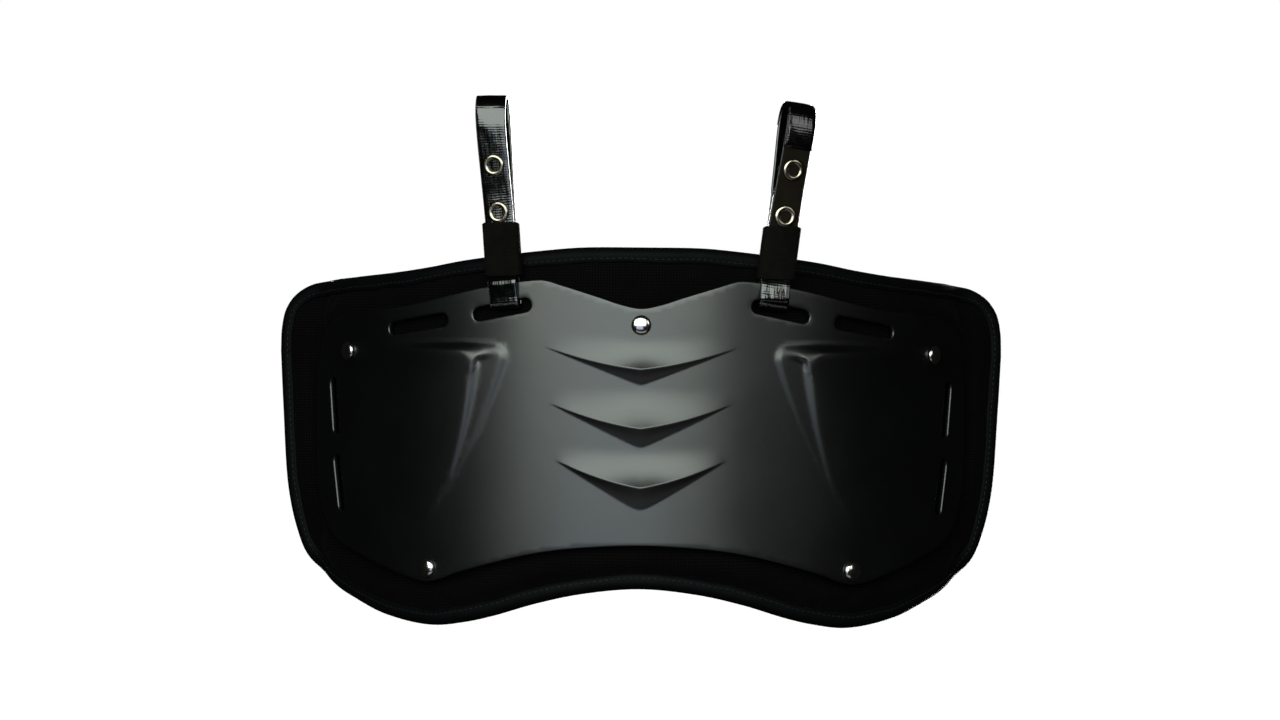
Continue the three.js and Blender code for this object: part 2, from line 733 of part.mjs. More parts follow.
// Finishes
const finishes = {
  shell: { color: 0x1a1b1d, roughness: 0.28, metalness: 0 },
  cover: { color: 0x141313, roughness: 0.92, metalness: 0 },
  tape: { color: 0x1b1b1f, roughness: 0.75, metalness: 0 },
  nickel: { color: 0xd9d8d4, roughness: 0.18, metalness: 1 },
  eyelet: { color: 0xc9c2b4, roughness: 0.25, metalness: 1 },
  strap: { color: 0x111112, roughness: 0.22, metalness: 0 },
  elastic: { color: 0x1c1a18, roughness: 0.85, metalness: 0 },
};

function addPiece(parent, name, geometry, finish, frame) {
  const mesh = new THREE.Mesh(geometry, new THREE.MeshStandardMaterial(finishes[finish]));
  mesh.name = name;
  if (frame) mesh.applyMatrix4(frame);
  parent.add(mesh);
}

const backPlate = new THREE.Group();
addPiece(backPlate, 'shell', shellGeometry(), 'shell');
addPiece(backPlate, 'pad', padGeometry(), 'cover');
addPiece(backPlate, 'binding', bindingGeometry(), 'tape');
for (const rivet of rivets) {
  const frame = shellFrame(rivet.along, -rivet.drop);
  addPiece(backPlate, `rivet_${rivet.name}`, rivetGeometry(), 'nickel', frame);
}
for (const strap of straps) {
  const harness = new THREE.Group();
  harness.applyMatrix4(strapFrame(strap));
  backPlate.add(harness);
  addPiece(harness, `strap_${strap.name}`, strapGeometry(strap), 'strap');
  addPiece(harness, `keeper_${strap.name}`, keeperGeometry(strap), 'elastic');
  for (const [level, rise] of Object.entries(eyeletRises(strap))) {
    for (const [layer, run] of Object.entries(eyeletRuns)) {
      const name = `eyelet_${strap.name}_${level}_${layer}`;
      addPiece(harness, name, eyeletGeometry(), 'eyelet', eyeletFrame(strap, rise, run));
    }
  }
}

export default backPlate;
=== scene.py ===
import math

import bmesh
import bpy
import numpy as np
from mathutils import Matrix, Vector, geometry, noise


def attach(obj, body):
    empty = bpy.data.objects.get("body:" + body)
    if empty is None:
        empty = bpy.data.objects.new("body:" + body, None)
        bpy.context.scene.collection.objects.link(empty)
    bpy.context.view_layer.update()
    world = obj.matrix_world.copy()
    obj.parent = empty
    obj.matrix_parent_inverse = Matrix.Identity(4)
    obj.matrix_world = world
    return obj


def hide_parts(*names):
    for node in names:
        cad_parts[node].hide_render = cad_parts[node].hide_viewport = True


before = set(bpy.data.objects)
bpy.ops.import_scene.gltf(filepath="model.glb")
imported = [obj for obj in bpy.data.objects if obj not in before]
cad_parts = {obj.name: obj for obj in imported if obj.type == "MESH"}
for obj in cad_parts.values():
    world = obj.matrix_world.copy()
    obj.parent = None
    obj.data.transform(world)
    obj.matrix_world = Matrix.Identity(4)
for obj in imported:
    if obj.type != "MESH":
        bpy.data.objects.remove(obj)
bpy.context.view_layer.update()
mm = 0.001

# The plate's own sizes in millimetres, as the solids have them. Outline rows are shares of halfArc and height.
shell = {
    "radius": 210,
    "halfArc": 232,
    "height": 131,
    "wall": 3,
    "drop": 114,
    "forward": 17,
    "lip": 0.9,          # rounding of every cut edge
    "edgeSpacing": 2.0,  # spacings are of the mesh's points
    "spacing": 2.6,
    "fineSpacing": 1.35,
    "bending": 0.02,     # relief that bends more than this takes the fine spacing
    "lineSpacing": 0.9,
    "lineSteps": (-1.3, -0.85, -0.4, 0, 0.4, 0.85, 1.3),
    "lineClear": 1.8,    # other points keep this far from ridges, the edge and holes
    "edgeClear": 2.2,
    "holeClear": 1.7,
    "holeRadius": 2.7,
    "top": [(0, 0), (0.05, 0.017), (0.1, 0.046), (0.19, 0.095), (0.235, 0.117), (0.28, 0.114), (0.4, 0.083),
            (0.57, 0.023), (0.66, 0), (0.75, -0.009), (0.9, -0.049), (0.965, -0.123), (0.993, -0.22),
            (1, -0.32)],
    "bottom": [(0, -1), (0.16, -1.015), (0.25, -1.037), (0.33, -1.068), (0.46, -1.13), (0.51, -1.16),
               (0.55, -1.172), (0.61, -1.155), (0.69, -1.116), (0.8, -1.06), (0.89, -1.004), (0.95, -0.918),
               (0.985, -0.8), (1, -0.66)],
}
pad = {
    "halfArc": 262,
    "height": 189,
    "gap": 2.8,
    "thickness": 13,
    "edgeThickness": 5,
    "edgeSetback": 3,
    "roundInset": 18,
    "tapeInset": 1.5,
    "flareRadius": 20,
    "flareAngle": 25,
    "lip": 2.2,
    "spacing": 4.2,
    "swell": 3.4,        # most that the cover may puff out beyond the shell
    "swellUnderShell": 0.5,
    "swellBehind": 3.0,
    "pucker": 0.45,      # beside the tape, puckerAt from the edge
    "puckerAt": 13,
    "puckerReach": 5,
    "puckerScale": 0.11,
    "fold": 0.5,         # wider folds over the rest
    "foldScale": 0.035,
    "sewn": 8.5,         # from the edge, held by the tape
    "riveted": 6,        # from a rivet, held by it
    "frames": 20,
    "pressure": 4,
    "cloth": {"quality": 4, "mass": 0.3, "tension_stiffness": 12, "compression_stiffness": 12,
              "bending_stiffness": 0.4, "shrink_min": -0.02},
    "top": [(0, 0.178), (0.13, 0.177), (0.2, 0.17), (0.4, 0.141), (0.5, 0.121), (0.6, 0.107), (0.75, 0.095),
            (0.875, 0.086), (0.927, 0.072), (0.965, 0.041), (0.988, -0.002), (0.998, -0.06), (1, -0.13)],
    "bottom": [(0, -0.821), (0.128, -0.838), (0.227, -0.868), (0.33, -0.909), (0.4, -0.93), (0.485, -0.943),
               (0.62, -0.922), (0.73, -0.884), (0.82, -0.85), (0.875, -0.818), (0.927, -0.76), (0.956, -0.675),
               (0.978, -0.552), (0.9925, -0.304), (1, -0.13)],
}


# Places on the curved plate, from distances round it, up it and out of it
def shellPlace(along, up, out):
    angle = along / shell["radius"]
    reach = shell["radius"] + out
    depth = shell["radius"] - shell["forward"] - reach * np.cos(angle)
    return np.column_stack([reach * np.sin(angle), depth, up - shell["drop"]]) * mm


def padPlace(along, up, out):
    radius = shell["radius"] - shell["wall"] - pad["gap"]
    flare = pad["flareRadius"]
    flareStart = shell["halfArc"] / shell["radius"]
    flareLength = flare * (flareStart - math.radians(pad["flareAngle"]))
    reach = np.abs(along)
    onArc = np.minimum(reach, radius * flareStart) / radius
    pastArc = reach - radius * flareStart
    heading = onArc - np.clip(pastArc, 0, flareLength) / flare
    beyond = np.maximum(0, pastArc - flareLength)
    across = radius * np.sin(onArc) + flare * (np.sin(onArc) - np.sin(heading)) + beyond * np.cos(heading)
    depth = flare * (np.cos(heading) - np.cos(onArc)) - radius * np.cos(onArc) + beyond * np.sin(heading)
    across = np.sign(along) * (across + out * np.sin(heading))
    depth = depth + shell["radius"] - shell["forward"] - out * np.cos(heading)
    return np.column_stack([across, depth, up - shell["drop"]]) * mm


# Smooth curve through knots
def smoothCurve(knots, steps=12, closed=False):
    knots = np.array(knots, float)
    if closed:
        padded = np.vstack([knots[-1:], knots, knots[:2]])
    else:
        padded = np.vstack([2 * knots[0] - knots[1], knots, 2 * knots[-1] - knots[-2]])
    share = np.linspace(0, 1, steps, endpoint=False)[:, None]
    points = []
    for before, start, end, after in zip(padded, padded[1:], padded[2:], padded[3:]):
        arms = (start - before, end - start, after - end)
        gaps = [max(np.linalg.norm(arm) ** 0.5, 1e-6) for arm in arms]
        leave = (start - before) / gaps[0] - (end - before) / (gaps[0] + gaps[1]) + (end - start) / gaps[1]
        arrive = (end - start) / gaps[1] - (after - start) / (gaps[1] + gaps[2]) + (after - end) / gaps[2]
        cubic = 2 * start - 2 * end + (leave + arrive) * gaps[1]
        square = 3 * end - 3 * start - (2 * leave + arrive) * gaps[1]
        points.append(cubic * share ** 3 + square * share ** 2 + leave * gaps[1] * share + start)
    return np.vstack(points if closed else points + [knots[-1:]])


def lengthAlong(points):
    return np.concatenate([[0], np.cumsum(np.linalg.norm(np.diff(points, axis=0), axis=1))])


def evenly(points, spacing, closed=True, count=None):
    ring = np.vstack([points, points[:1]]) if closed else points
    length = lengthAlong(ring)
    count = count or max(3, round(length[-1] / spacing))
    at = np.linspace(0, length[-1], count if closed else count + 1, endpoint=not closed)
    return np.column_stack([np.interp(at, length, ring[:, axis]) for axis in range(ring.shape[1])])


def plateOutline(plate, spacing):
    sides = []
    for rows in (plate["top"], plate["bottom"]):
        mirrored = [(-across, up) for across, up in rows[:0:-1]] + rows
        sides.append(smoothCurve(np.array(mirrored) * (plate["halfArc"], plate["height"])))
    return evenly(np.vstack([sides[0], sides[1][::-1]]), spacing)


def inset(loop, distance):
    ahead = np.roll(loop, -1, 0) - np.roll(loop, 1, 0)
    ahead /= np.maximum(np.linalg.norm(ahead, axis=1), 1e-9)[:, None]
    return loop + np.column_stack([ahead[:, 1], -ahead[:, 0]]) * np.reshape(distance, (-1, 1))


def nearest(points, loop):
    chunks = [points[i:i + 1500] for i in range(0, len(points), 1500)]
    return np.concatenate([np.linalg.norm(c[:, None] - loop[None], axis=2).min(1) for c in chunks])


def inside(points, loop):
    hit = np.zeros(len(points), bool)
    x, y = points[:, 0], points[:, 1]
    for (ax, ay), (bx, by) in zip(loop, np.roll(loop, -1, 0)):
        if ay == by:
            continue
        hit ^= ((ay > y) != (by > y)) & (x < (bx - ax) * (y - ay) / (by - ay) + ax)
    return hit


def honeycomb(loop, spacing):
    low, high = loop.min(0), loop.max(0)
    rows = np.arange(low[1], high[1], spacing * 0.866)
    columns = np.arange(low[0], high[0], spacing)
    return np.vstack([np.column_stack([columns + (i % 2) * spacing / 2, np.full(len(columns), y)])
                      for i, y in enumerate(rows)])


def noiseField(places, scale, seed):
    return np.array([noise.noise(Vector((x * scale, y * scale, seed))) for x, y in places.tolist()])


def smoothStep(share):
    share = np.clip(share, 0, 1)
    return share * share * (3 - 2 * share)


# Quads between each ring of points and the next
def ringFaces(rings):
    quads = [np.column_stack([near, np.roll(near, -1), np.roll(far, -1), far])
             for near, far in zip(rings, rings[1:])]
    return np.vstack(quads).tolist()


def ringsOf(turns, count, closed=True):
    rings = list(np.arange(turns * count).reshape(turns, count))
    return rings + rings[:1] if closed else rings


# A closed wall between a front and a back face, with rounded edges at its outline and holes
def wallMesh(name, loops, inner, place, front, back, lip, lipSteps=4):
    borders = [inset(loop, lip) for loop in loops]
    counts = [len(border) for border in borders]
    starts = [sum(counts[:i]) for i in range(len(counts))]
    total = sum(counts)
    edges = [(start + i, start + (i + 1) % count)
             for start, count in zip(starts, counts) for i in range(count)]
    flat = np.vstack(borders + [inner])
    spots = [Vector(point) for point in flat.tolist()]
    _, _, triangles, source, _, _ = geometry.delaunay_2d_cdt(spots, edges, [], 1, 1e-7)
    triangles = np.array([[source[i][0] for i in face] for face in triangles])
    corners = flat[triangles]
    middle = corners.mean(1)
    keep = inside(middle, borders[0])
    for hole in borders[1:]:
        keep &= ~inside(middle, hole)
    triangles, corners = triangles[keep], corners[keep]
    arms = corners[:, 1:] - corners[:, :1]
    turned = arms[:, 0, 0] * arms[:, 1, 1] - arms[:, 0, 1] * arms[:, 1, 0] < 0
    triangles[turned] = triangles[turned][:, ::-1]
    used = np.union1d(triangles, np.arange(total))
    number = np.full(len(flat), -1)
    number[used] = np.arange(len(used))
    triangles, flat = number[triangles], flat[used]
    fronts, backs = front(flat[:, 0], flat[:, 1]), back(flat[:, 0], flat[:, 1])
    size = len(flat)
    parameters = [np.column_stack([flat, fronts]), np.column_stack([flat, backs])]
    faces = triangles.tolist() + (triangles[:, ::-1] + size).tolist()
    turns = np.linspace(0, math.pi / 2, lipSteps + 1)[1:]
    profile = [(1 - math.sin(t), 1 - math.cos(t), 0) for t in turns]
    profile += [(1 - math.sin(t), 1 - math.cos(t), 1) for t in turns[::-1]]
    for loop, start, count in zip(loops, starts, counts):
        own = np.arange(start, start + count)
        rings = [own]
        for inward, drop, behind in profile:
            out = backs[own] + lip * drop if behind else fronts[own] - lip * drop
            rings.append(sum(len(row) for row in parameters) + np.arange(count))
            parameters.append(np.column_stack([inset(loop, lip * inward), out]))
        faces += ringFaces(rings + [own + size])
    parameters = np.vstack(parameters)
    mesh = meshFrom(name, place(*parameters.T), faces)
    addMap(mesh, "flat", parameters[:, :2] * mm)
    return mesh, parameters


def meshFrom(name, points, faces=(), edges=()):
    mesh = bpy.data.meshes.new(name)
    mesh.from_pydata(np.asarray(points).tolist(), list(edges), [list(face) for face in faces])
    shadeSmooth(mesh)
    mesh.update()
    return mesh


def shadeSmooth(mesh):
    mesh.polygons.foreach_set("use_smooth", [True] * len(mesh.polygons))


def addObject(name, data):
    added = bpy.data.objects.new(name, data)
    bpy.context.scene.collection.objects.link(added)
    return added


def addMap(mesh, name, places):
    corners = np.zeros(len(mesh.loops), int)
    mesh.loops.foreach_get("vertex_index", corners)
    layer = mesh.uv_layers.new(name=name)
    layer.data.foreach_set("uv", np.asarray(places, float)[corners].ravel())


def addPiece(name, mesh, materials, replaced=()):
    piece = addObject(name, mesh)
    for material in materials:
        if material.name not in mesh.materials:
            mesh.materials.append(material)
    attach(piece, "root")
    if replaced:
        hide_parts(*replaced)
    print(name, len(mesh.polygons), "faces")
    return piece


# Materials
def linear(hexColour):
    parts = [int(hexColour[i:i + 2], 16) / 255 for i in (1, 3, 5)]
    return [p / 12.92 if p <= 0.04045 else ((p + 0.055) / 1.055) ** 2.4 for p in parts] + [1]


def addNode(tree, kind, inputs=None, **settings):
    made = tree.nodes.new(kind)
    for name, value in settings.items():
        setattr(made, name, value)
    for socket, value in (inputs or {}).items():
        if isinstance(value, bpy.types.Node):
            value = value.outputs[0]
        if isinstance(value, bpy.types.NodeSocket):
            tree.links.new(value, made.inputs[socket])
        else:
            made.inputs[socket].default_value = value
    return made


# A material from its patterns. A pattern is noise, or bands across X or Y, of a size in millimetres, or two
# others multiplied. Relief rows are pattern, depth in millimetres and strength, each laid over the one before.
# Rough rows are pattern, its range and the roughness that it gives, added up. Shade is a pattern, its two
# colours and where they lie.
def makeMaterial(name, colour, values, patterns=(), relief=(), rough=(), shade=None, mapName=None):
    material = bpy.data.materials.new(name)
    material.use_nodes = True
    tree = material.node_tree
    tree.nodes.clear()
    surface = addNode(tree, "ShaderNodeBsdfPrincipled", {"Base Color": linear(colour), **values})
    addNode(tree, "ShaderNodeOutputMaterial", {"Surface": surface})
    if mapName:
        places = addNode(tree, "ShaderNodeUVMap", uv_map=mapName).outputs[0]
    elif patterns:
        places = addNode(tree, "ShaderNodeTexCoord").outputs["Object"]
    made = {}
    for label, row in dict(patterns).items():
        if "product" in row:
            factors = {i: made[part] for i, part in enumerate(row["product"])}
            made[label] = addNode(tree, "ShaderNodeMath", factors, operation="MULTIPLY").outputs[0]
            continue
        spots = places
        if "stretch" in row or "turn" in row:
            turn = (0, 0, math.radians(row.get("turn", 0)))
            spots = addNode(tree, "ShaderNodeMapping", {"Vector": places, "Rotation": turn,
                                                        "Scale": row.get("stretch", (1, 1, 1))})
        given = {"Vector": spots, "Scale": 1000 / row["size"], "Detail": row["detail"]}
        if "bands" in row:
            given["Scale"] *= math.pi / 10
            given.update({"Distortion": row["bend"], "Detail Scale": row.get("detailScale", 1)})
            bands = addNode(tree, "ShaderNodeTexWave", given, bands_direction=row["bands"])
            made[label] = bands.outputs["Fac"]
        else:
            made[label] = addNode(tree, "ShaderNodeTexNoise", given).outputs[0]
    found = {}
    for label, depth, strength in relief:
        given = {"Height": made[label], "Distance": depth * mm, "Strength": strength}
        if found:
            given["Normal"] = found["Normal"]
        found["Normal"] = addNode(tree, "ShaderNodeBump", given)
    if relief and "Coat Weight" in values:
        found["Coat Normal"] = found["Normal"]
    for label, low, high, least, most in rough:
        part = addNode(tree, "ShaderNodeMapRange", {"Value": made[label], "From Min": low, "From Max": high,
                                                    "To Min": least, "To Max": most})
        if "Roughness" in found:
            part = addNode(tree, "ShaderNodeMath", {0: found["Roughness"], 1: part}, operation="ADD")
        found["Roughness"] = part
    if shade:
        label, dark, pale, start, end = shade
        ramp = addNode(tree, "ShaderNodeValToRGB", {"Fac": made[label]})
        for stop, tone, at in zip(ramp.color_ramp.elements, (dark, pale), (start, end)):
            stop.color, stop.position = linear(tone), at
        found["Base Color"] = ramp
    for socket, source in found.items():
        tree.links.new(source.outputs[0], surface.inputs[socket])
    return material


def fabric(roughness, sheen, sheenRoughness, tint, gloss):
    return {"Roughness": roughness, "Sheen Weight": sheen, "Sheen Roughness": sheenRoughness,
            "Sheen Tint": linear(tint), "Specular IOR Level": gloss}


# Polyethylene sheet moulded on a polished tool: a satin gloss with a faint ripple and hairline rubs
plastic = makeMaterial(
    "mouldedPolyethylene", "#020203", {"IOR": 1.51, "Specular IOR Level": 0.8},
    {"clouds": {"size": 55, "detail": 4},
     "rubs": {"size": 1.2, "detail": 2, "stretch": (0.08, 1, 1)},
     "ripple": {"size": 11, "detail": 1},
     "peel": {"size": 1.3, "detail": 2}},  # the tool's grain is under 0.3 mm, drawn coarser to show
    relief=[("ripple", 0.06, 0.5), ("peel", 0.012, 0.6)],
    rough=[("clouds", 0.3, 0.7, 0.31, 0.36), ("rubs", 0.6, 0.75, 0, 0.05)],
    shade=("clouds", "#010101", "#030304", 0, 1))

# Warp-knitted polyester over foam: matt, with a nap that catches the light at its edges
# Stitches are 0.7 mm apart on such cloth, drawn at 1.6 mm so that they show
cover = makeMaterial(
    "knittedCover", "#080807", fabric(0.95, 0.025, 0.45, "#8d8a84", 0.03),
    {"wales": {"size": 1.6, "bands": "X", "bend": 1.2, "detail": 1, "detailScale": 2},
     "courses": {"size": 1.6, "bands": "Y", "bend": 1.2, "detail": 1, "detailScale": 2},
     "knit": {"product": ("wales", "courses")},
     "nap": {"size": 1.1, "detail": 3},
     "wear": {"size": 26, "detail": 4},
     "wornKnit": {"product": ("knit", "wear")}},
    relief=[("wear", 0.9, 0.5), ("nap", 0.15, 0.7), ("knit", 0.16, 0.8)],
    shade=("wornKnit", "#030303", "#0e0d0c", 0, 0.5), mapName="flat")

# Woven polyester binding: fine ribs across the tape and a slight blue sheen
# Ribs of such a tape are 0.5 mm apart, drawn at 1.3 mm so that they show
tape = makeMaterial(
    "wovenTape", "#050507", fabric(0.6, 0.015, 0.35, "#a9adba", 0.06),
    {"ribs": {"size": 1.3, "bands": "X", "bend": 0.6, "detail": 1},
     "lint": {"size": 0.9, "detail": 3},
     "fade": {"size": 20, "detail": 3}},
    relief=[("lint", 0.1, 0.5), ("ribs", 0.1, 0.6)],
    shade=("fade", "#030304", "#08080a", 0, 1), mapName="tape")

# Bonded polyester thread, slightly glossy from its wax
thread = makeMaterial(
    "bondedThread", "#17171b", {"Roughness": 0.45, "Sheen Weight": 0.03, "Specular IOR Level": 0.2},
    {"twist": {"size": 0.5, "detail": 2}},
    relief=[("twist", 0.08, 0.6)],
    shade=("twist", "#0b0b0e", "#18181c", 0, 1))


# Plated metal: mirror bright, with faint swirls where it has been handled
def platedNickel(name, bright, worn, polish):
    return makeMaterial(
        name, bright, {"Metallic": 1},
        {"swirls": {"size": 1.6, "detail": 4}, "spots": {"size": 3.5, "detail": 3}},
        relief=[("swirls", 0.01, 0.3)],
        rough=[("swirls", 0.3, 0.7, polish, polish + 0.06)],
        shade=("spots", bright, worn, 0.45, 0.75))


rivetMetal = platedNickel("polishedNickel", "#d9d6d0", "#b9b4aa", 0.12)
eyeletMetal = platedNickel("warmNickel", "#aaa190", "#80786a", 0.16)

# Calendered vinyl on a cloth backing: wet-looking gloss over a fine cross grain and lengthwise creases
vinyl = makeMaterial(
    "glossVinyl", "#020202",
    {"IOR": 1.53, "Specular IOR Level": 0.5, "Coat Weight": 0.7, "Coat Roughness": 0.06},
    {"cross": {"size": 1.4, "bands": "X", "bend": 2.5, "detail": 2},
     "creases": {"size": 2.4, "detail": 2, "stretch": (0.12, 1, 1)},
     "dents": {"size": 8, "detail": 2},
     "haze": {"size": 5, "detail": 3}},
    relief=[("dents", 0.2, 0.6), ("creases", 0.34, 0.7), ("cross", 0.04, 0.5)],
    rough=[("haze", 0.3, 0.7, 0.12, 0.2)], mapName="strip")

# Unfinished side of the strap: brown-grey twill, dry and matt
# Twill lines are 0.6 mm apart on such a backing, drawn at 1.4 mm so that they show
backing = makeMaterial(
    "clothBacking", "#1d1a15", fabric(0.95, 0.02, 0.5, "#8f8676", 0.04),
    {"twill": {"size": 1.4, "bands": "X", "bend": 0.8, "detail": 1, "turn": 38},
     "lint": {"size": 1, "detail": 3},
     "stain": {"size": 9, "detail": 3}},
    relief=[("lint", 0.12, 0.6), ("twill", 0.12, 0.7)],
    shade=("stain", "#0f0d0a", "#1d1913", 0, 1), mapName="strip")

# Woven elastic: matt ribs running round the sleeve over a rubber core
elastic = makeMaterial(
    "wovenElastic", "#12110f", fabric(0.92, 0.02, 0.5, "#8b867c", 0.04),
    {"picks": {"size": 0.8, "detail": 2, "stretch": (1, 1, 0.4)},
     "dust": {"size": 6, "detail": 3}},
    relief=[("picks", 0.15, 0.8)],
    shade=("dust", "#080706", "#12110e", 0, 1))
print("materials made")

# Camera at the photograph's angle
view = {"distance": 2.1, "height": -0.1425, "pixelsPerMm": 1.82, "roll": 0.45, "width": 1280, "sensor": 36}
camera = addObject("camera", bpy.data.cameras.new("camera"))
camera.location = (0, -shell["forward"] * mm - view["distance"], view["height"])
camera.rotation_euler = (math.radians(90), math.radians(-view["roll"]), 0)
camera.data.sensor_width = view["sensor"]
camera.data.lens = view["pixelsPerMm"] * view["distance"] / mm / view["width"] * view["sensor"]
camera.data.shift_x = -1 / view["width"]
camera.data.clip_end = 50
bpy.context.scene.camera = camera

# Studio: pale floor well below, soft lights, pale surround that only the camera sees at full strength
studio = {
    "floorHeight": -1.3,
    "floorSize": 60.0,
    "floorColour": "#e6e6e4",
    "floorGlow": 1.3,
    "aim": (0, 0, -0.18),
    "surround": "#ffffff",
    "surroundGlow": 0.006,
    # name: place, size, power and tint
    "lights": {
        "widePanel": ((-0.28, -1.75, 0.48), (2.57, 1.35), 48, "#f4fff7"),
        "lowPanel": ((-0.3, -1.85, -0.48), (1.2, 0.75), 2.8, "#d0e2ff"),
        "rightCard": ((1.3, -1.25, 0.42), (0.5, 0.7), 2.2, "#ffffff"),
        "lowCard": ((0, -0.8, -1.0), (1.5, 0.45), 0.65, "#ffffff"),
        "backPanel": ((0.25, 1.9, -0.25), (1.6, 1.0), 120, "#ffffff"),
    },
}


def buildStudio():
    half = studio["floorSize"] / 2
    low = studio["floorHeight"]
    corners = [(-half, -half, low), (half, -half, low), (half, half, low), (-half, half, low)]
    floor = addObject("floor", meshFrom("floor", corners, [(0, 1, 2, 3)]))
    tone = linear(studio["floorColour"])
    floor.data.materials.append(makeMaterial("paleFloor", studio["floorColour"], {
        "Roughness": 0.9, "Emission Color": tone, "Emission Strength": studio["floorGlow"]}))
    floor.visible_glossy = floor.visible_diffuse = False
    for name, (place, size, power, tint) in studio["lights"].items():
        light = bpy.data.lights.new(name, "AREA")
        light.shape = "RECTANGLE"
        light.size, light.size_y = size
        light.energy = power
        light.color = linear(tint)[:3]
        lamp = addObject(name, light)
        lamp.location = place
        lamp.rotation_euler = (Vector(studio["aim"]) - lamp.location).to_track_quat("-Z", "Y").to_euler()
        lamp.visible_camera = False
    world = bpy.data.worlds.new("surround")
    bpy.context.scene.world = world
    world.use_nodes = True
    tree = world.node_tree
    tree.nodes.clear()
    tone = linear(studio["surround"])
    seen = addNode(tree, "ShaderNodeBackground", {"Color": tone, "Strength": 1.0})
    felt = addNode(tree, "ShaderNodeBackground", {"Color": tone, "Strength": studio["surroundGlow"]})
    path = addNode(tree, "ShaderNodeLightPath")
    both = addNode(tree, "ShaderNodeMixShader", {0: path.outputs["Is Camera Ray"], 1: felt, 2: seen})
    addNode(tree, "ShaderNodeOutputWorld", {"Surface": both})
    bpy.context.scene.view_settings.view_transform = "Standard"


buildStudio()
print("studio made")

# Raised forms of the shell
chevrons = {
    "halfWidth": 53.5,
    "height": 4,
    "riser": 8.5,
    "pitch": 32.6,
    "firstDrop": 33.8,
    "rampDrop": 17,
    "rise": 12.1,
    "gap": 1,
    "tipRamp": 9,
    "ramp": 2.1,
    "riserCurve": 1.3,
    "rows": [
        {"width": 1, "rise": 1, "riser": 1, "height": 1, "point": 0.44, "footRound": 0.03},
        {"width": 0.935, "rise": 1.1, "riser": 1.21, "height": 1.15, "point": 0.5, "footRound": 0.05},
        {"width": 0.87, "rise": 1.2, "riser": 1.42, "height": 1.3, "point": 0.56, "footRound": 0.08},
    ],
}
sidePanels = {
    "height": 5,
    "topDrop": 19.4,
    "length": 100,
    "topRiser": 5.6,
    "innerAcross": 72.1,
    "lean": 30.3,
    "curve": 22.5,
    "sideRiser": 22,
    "riserEnd": 0.75,    # share of the length where the side has narrowed to its least
    "leastRiser": 3,
    "footCorner": 10,
    "crestCorner": 6.5,
    "turnAcross": 18,
    "turnDown": 9,
    "fadeInset": 50,
    "fadeLean": 13,
}


# A V with a rounded point: 0 in the middle, 1 at its tips
def vee(reach, rounding):
    return (np.hypot(reach, rounding) - rounding) / (math.hypot(1, rounding) - rounding)


def chevronLines(index, along):
    row = chevrons["rows"][index]
    riser = chevrons["riser"] * row["riser"]
    rise = chevrons["rise"] * row["rise"]
    drop = chevrons["firstDrop"] + chevrons["pitch"] * index
    reach = np.minimum(np.abs(along) / (chevrons["halfWidth"] * row["width"]), 1)
    ridge = -drop + rise * (row["point"] * reach + (1 - row["point"]) * reach ** 2)
    foot = -drop - riser + (rise + riser) * vee(reach, row["footRound"])
    above = chevrons["riser"] * chevrons["rows"][index - 1]["riser"]
    rampDrop = drop - chevrons["pitch"] + above + chevrons["gap"] if index else chevrons["rampDrop"]
    start = -rampDrop + (rise - drop + chevrons["tipRamp"] + rampDrop) * reach
    return ridge, foot, np.maximum(start, ridge + 1.5), chevrons["height"] * row["height"] / riser


def reliefAt(along, up):
    height = np.zeros(len(along))
    for index in range(len(chevrons["rows"])):
        ridge, foot, start, steepness = chevronLines(index, along)
        lift = steepness * np.maximum(0, ridge - foot)
        ramp = np.clip((start - up) / (start - ridge), 0, 1) ** chevrons["ramp"]
        face = np.clip((up - foot) / np.maximum(ridge - foot, 0.01), 0, 1) ** chevrons["riserCurve"]
        height = np.maximum(height, lift * np.where(up >= ridge, ramp, face))
    return np.maximum(height, panelRelief(along, up))


# Distance inside a corner between two straight edges, rounded to the given radius
def insideCorner(first, second, radius):
    near, far = radius - first, radius - second
    return radius - np.hypot(np.maximum(near, 0), np.maximum(far, 0)) - np.minimum(np.maximum(near, far), 0)


def panelRelief(along, up):
    reach = np.abs(along)
    down = -up - sidePanels["topDrop"]
    share = np.clip(down / sidePanels["length"], 0, 1)
    straight = math.cos(math.atan2(sidePanels["lean"] + sidePanels["curve"], sidePanels["length"]))
    foot = sidePanels["innerAcross"] + sidePanels["lean"] * share + sidePanels["curve"] * share ** 2
    narrowing = np.clip(1 - share / sidePanels["riserEnd"], 0, 1)
    riser = sidePanels["sideRiser"] * narrowing + sidePanels["leastRiser"]
    fromFoot = insideCorner(down, (reach - foot) * straight, sidePanels["footCorner"])
    past = (reach - foot - riser) * straight
    toCrest = -insideCorner(down - sidePanels["topRiser"], past, sidePanels["crestCorner"])
    climb = np.clip(fromFoot / np.maximum(fromFoot + np.maximum(toCrest, 0), 1e-6), 0, 1)
    climb = np.where(fromFoot <= 0, 0, climb)
    sideways = np.clip(1 - (reach - foot) / sidePanels["turnAcross"], 0, 1) ** 2
    upwards = np.clip(1 - down / sidePanels["turnDown"], 0, 1) ** 2
    turn = sideways / np.maximum(sideways + upwards, 1e-9)
    # its side rises in two soft steps, so that its foot and its crest each catch a line of light
    steps = 0.3 * smoothStep(climb / 0.2) + 0.08 * climb + 0.62 * smoothStep((climb - 0.68) / 0.32)
    rim = turn * steps + (1 - turn) * np.sin(climb * math.pi / 2) ** 1.15
    fade = shell["halfArc"] - sidePanels["fadeInset"] - sidePanels["fadeLean"] * share
    outward = np.clip((reach - foot - riser) / (fade - foot - riser), 0, 1)
    return sidePanels["height"] * (1 - share) * (1 - smoothStep(outward)) * rim


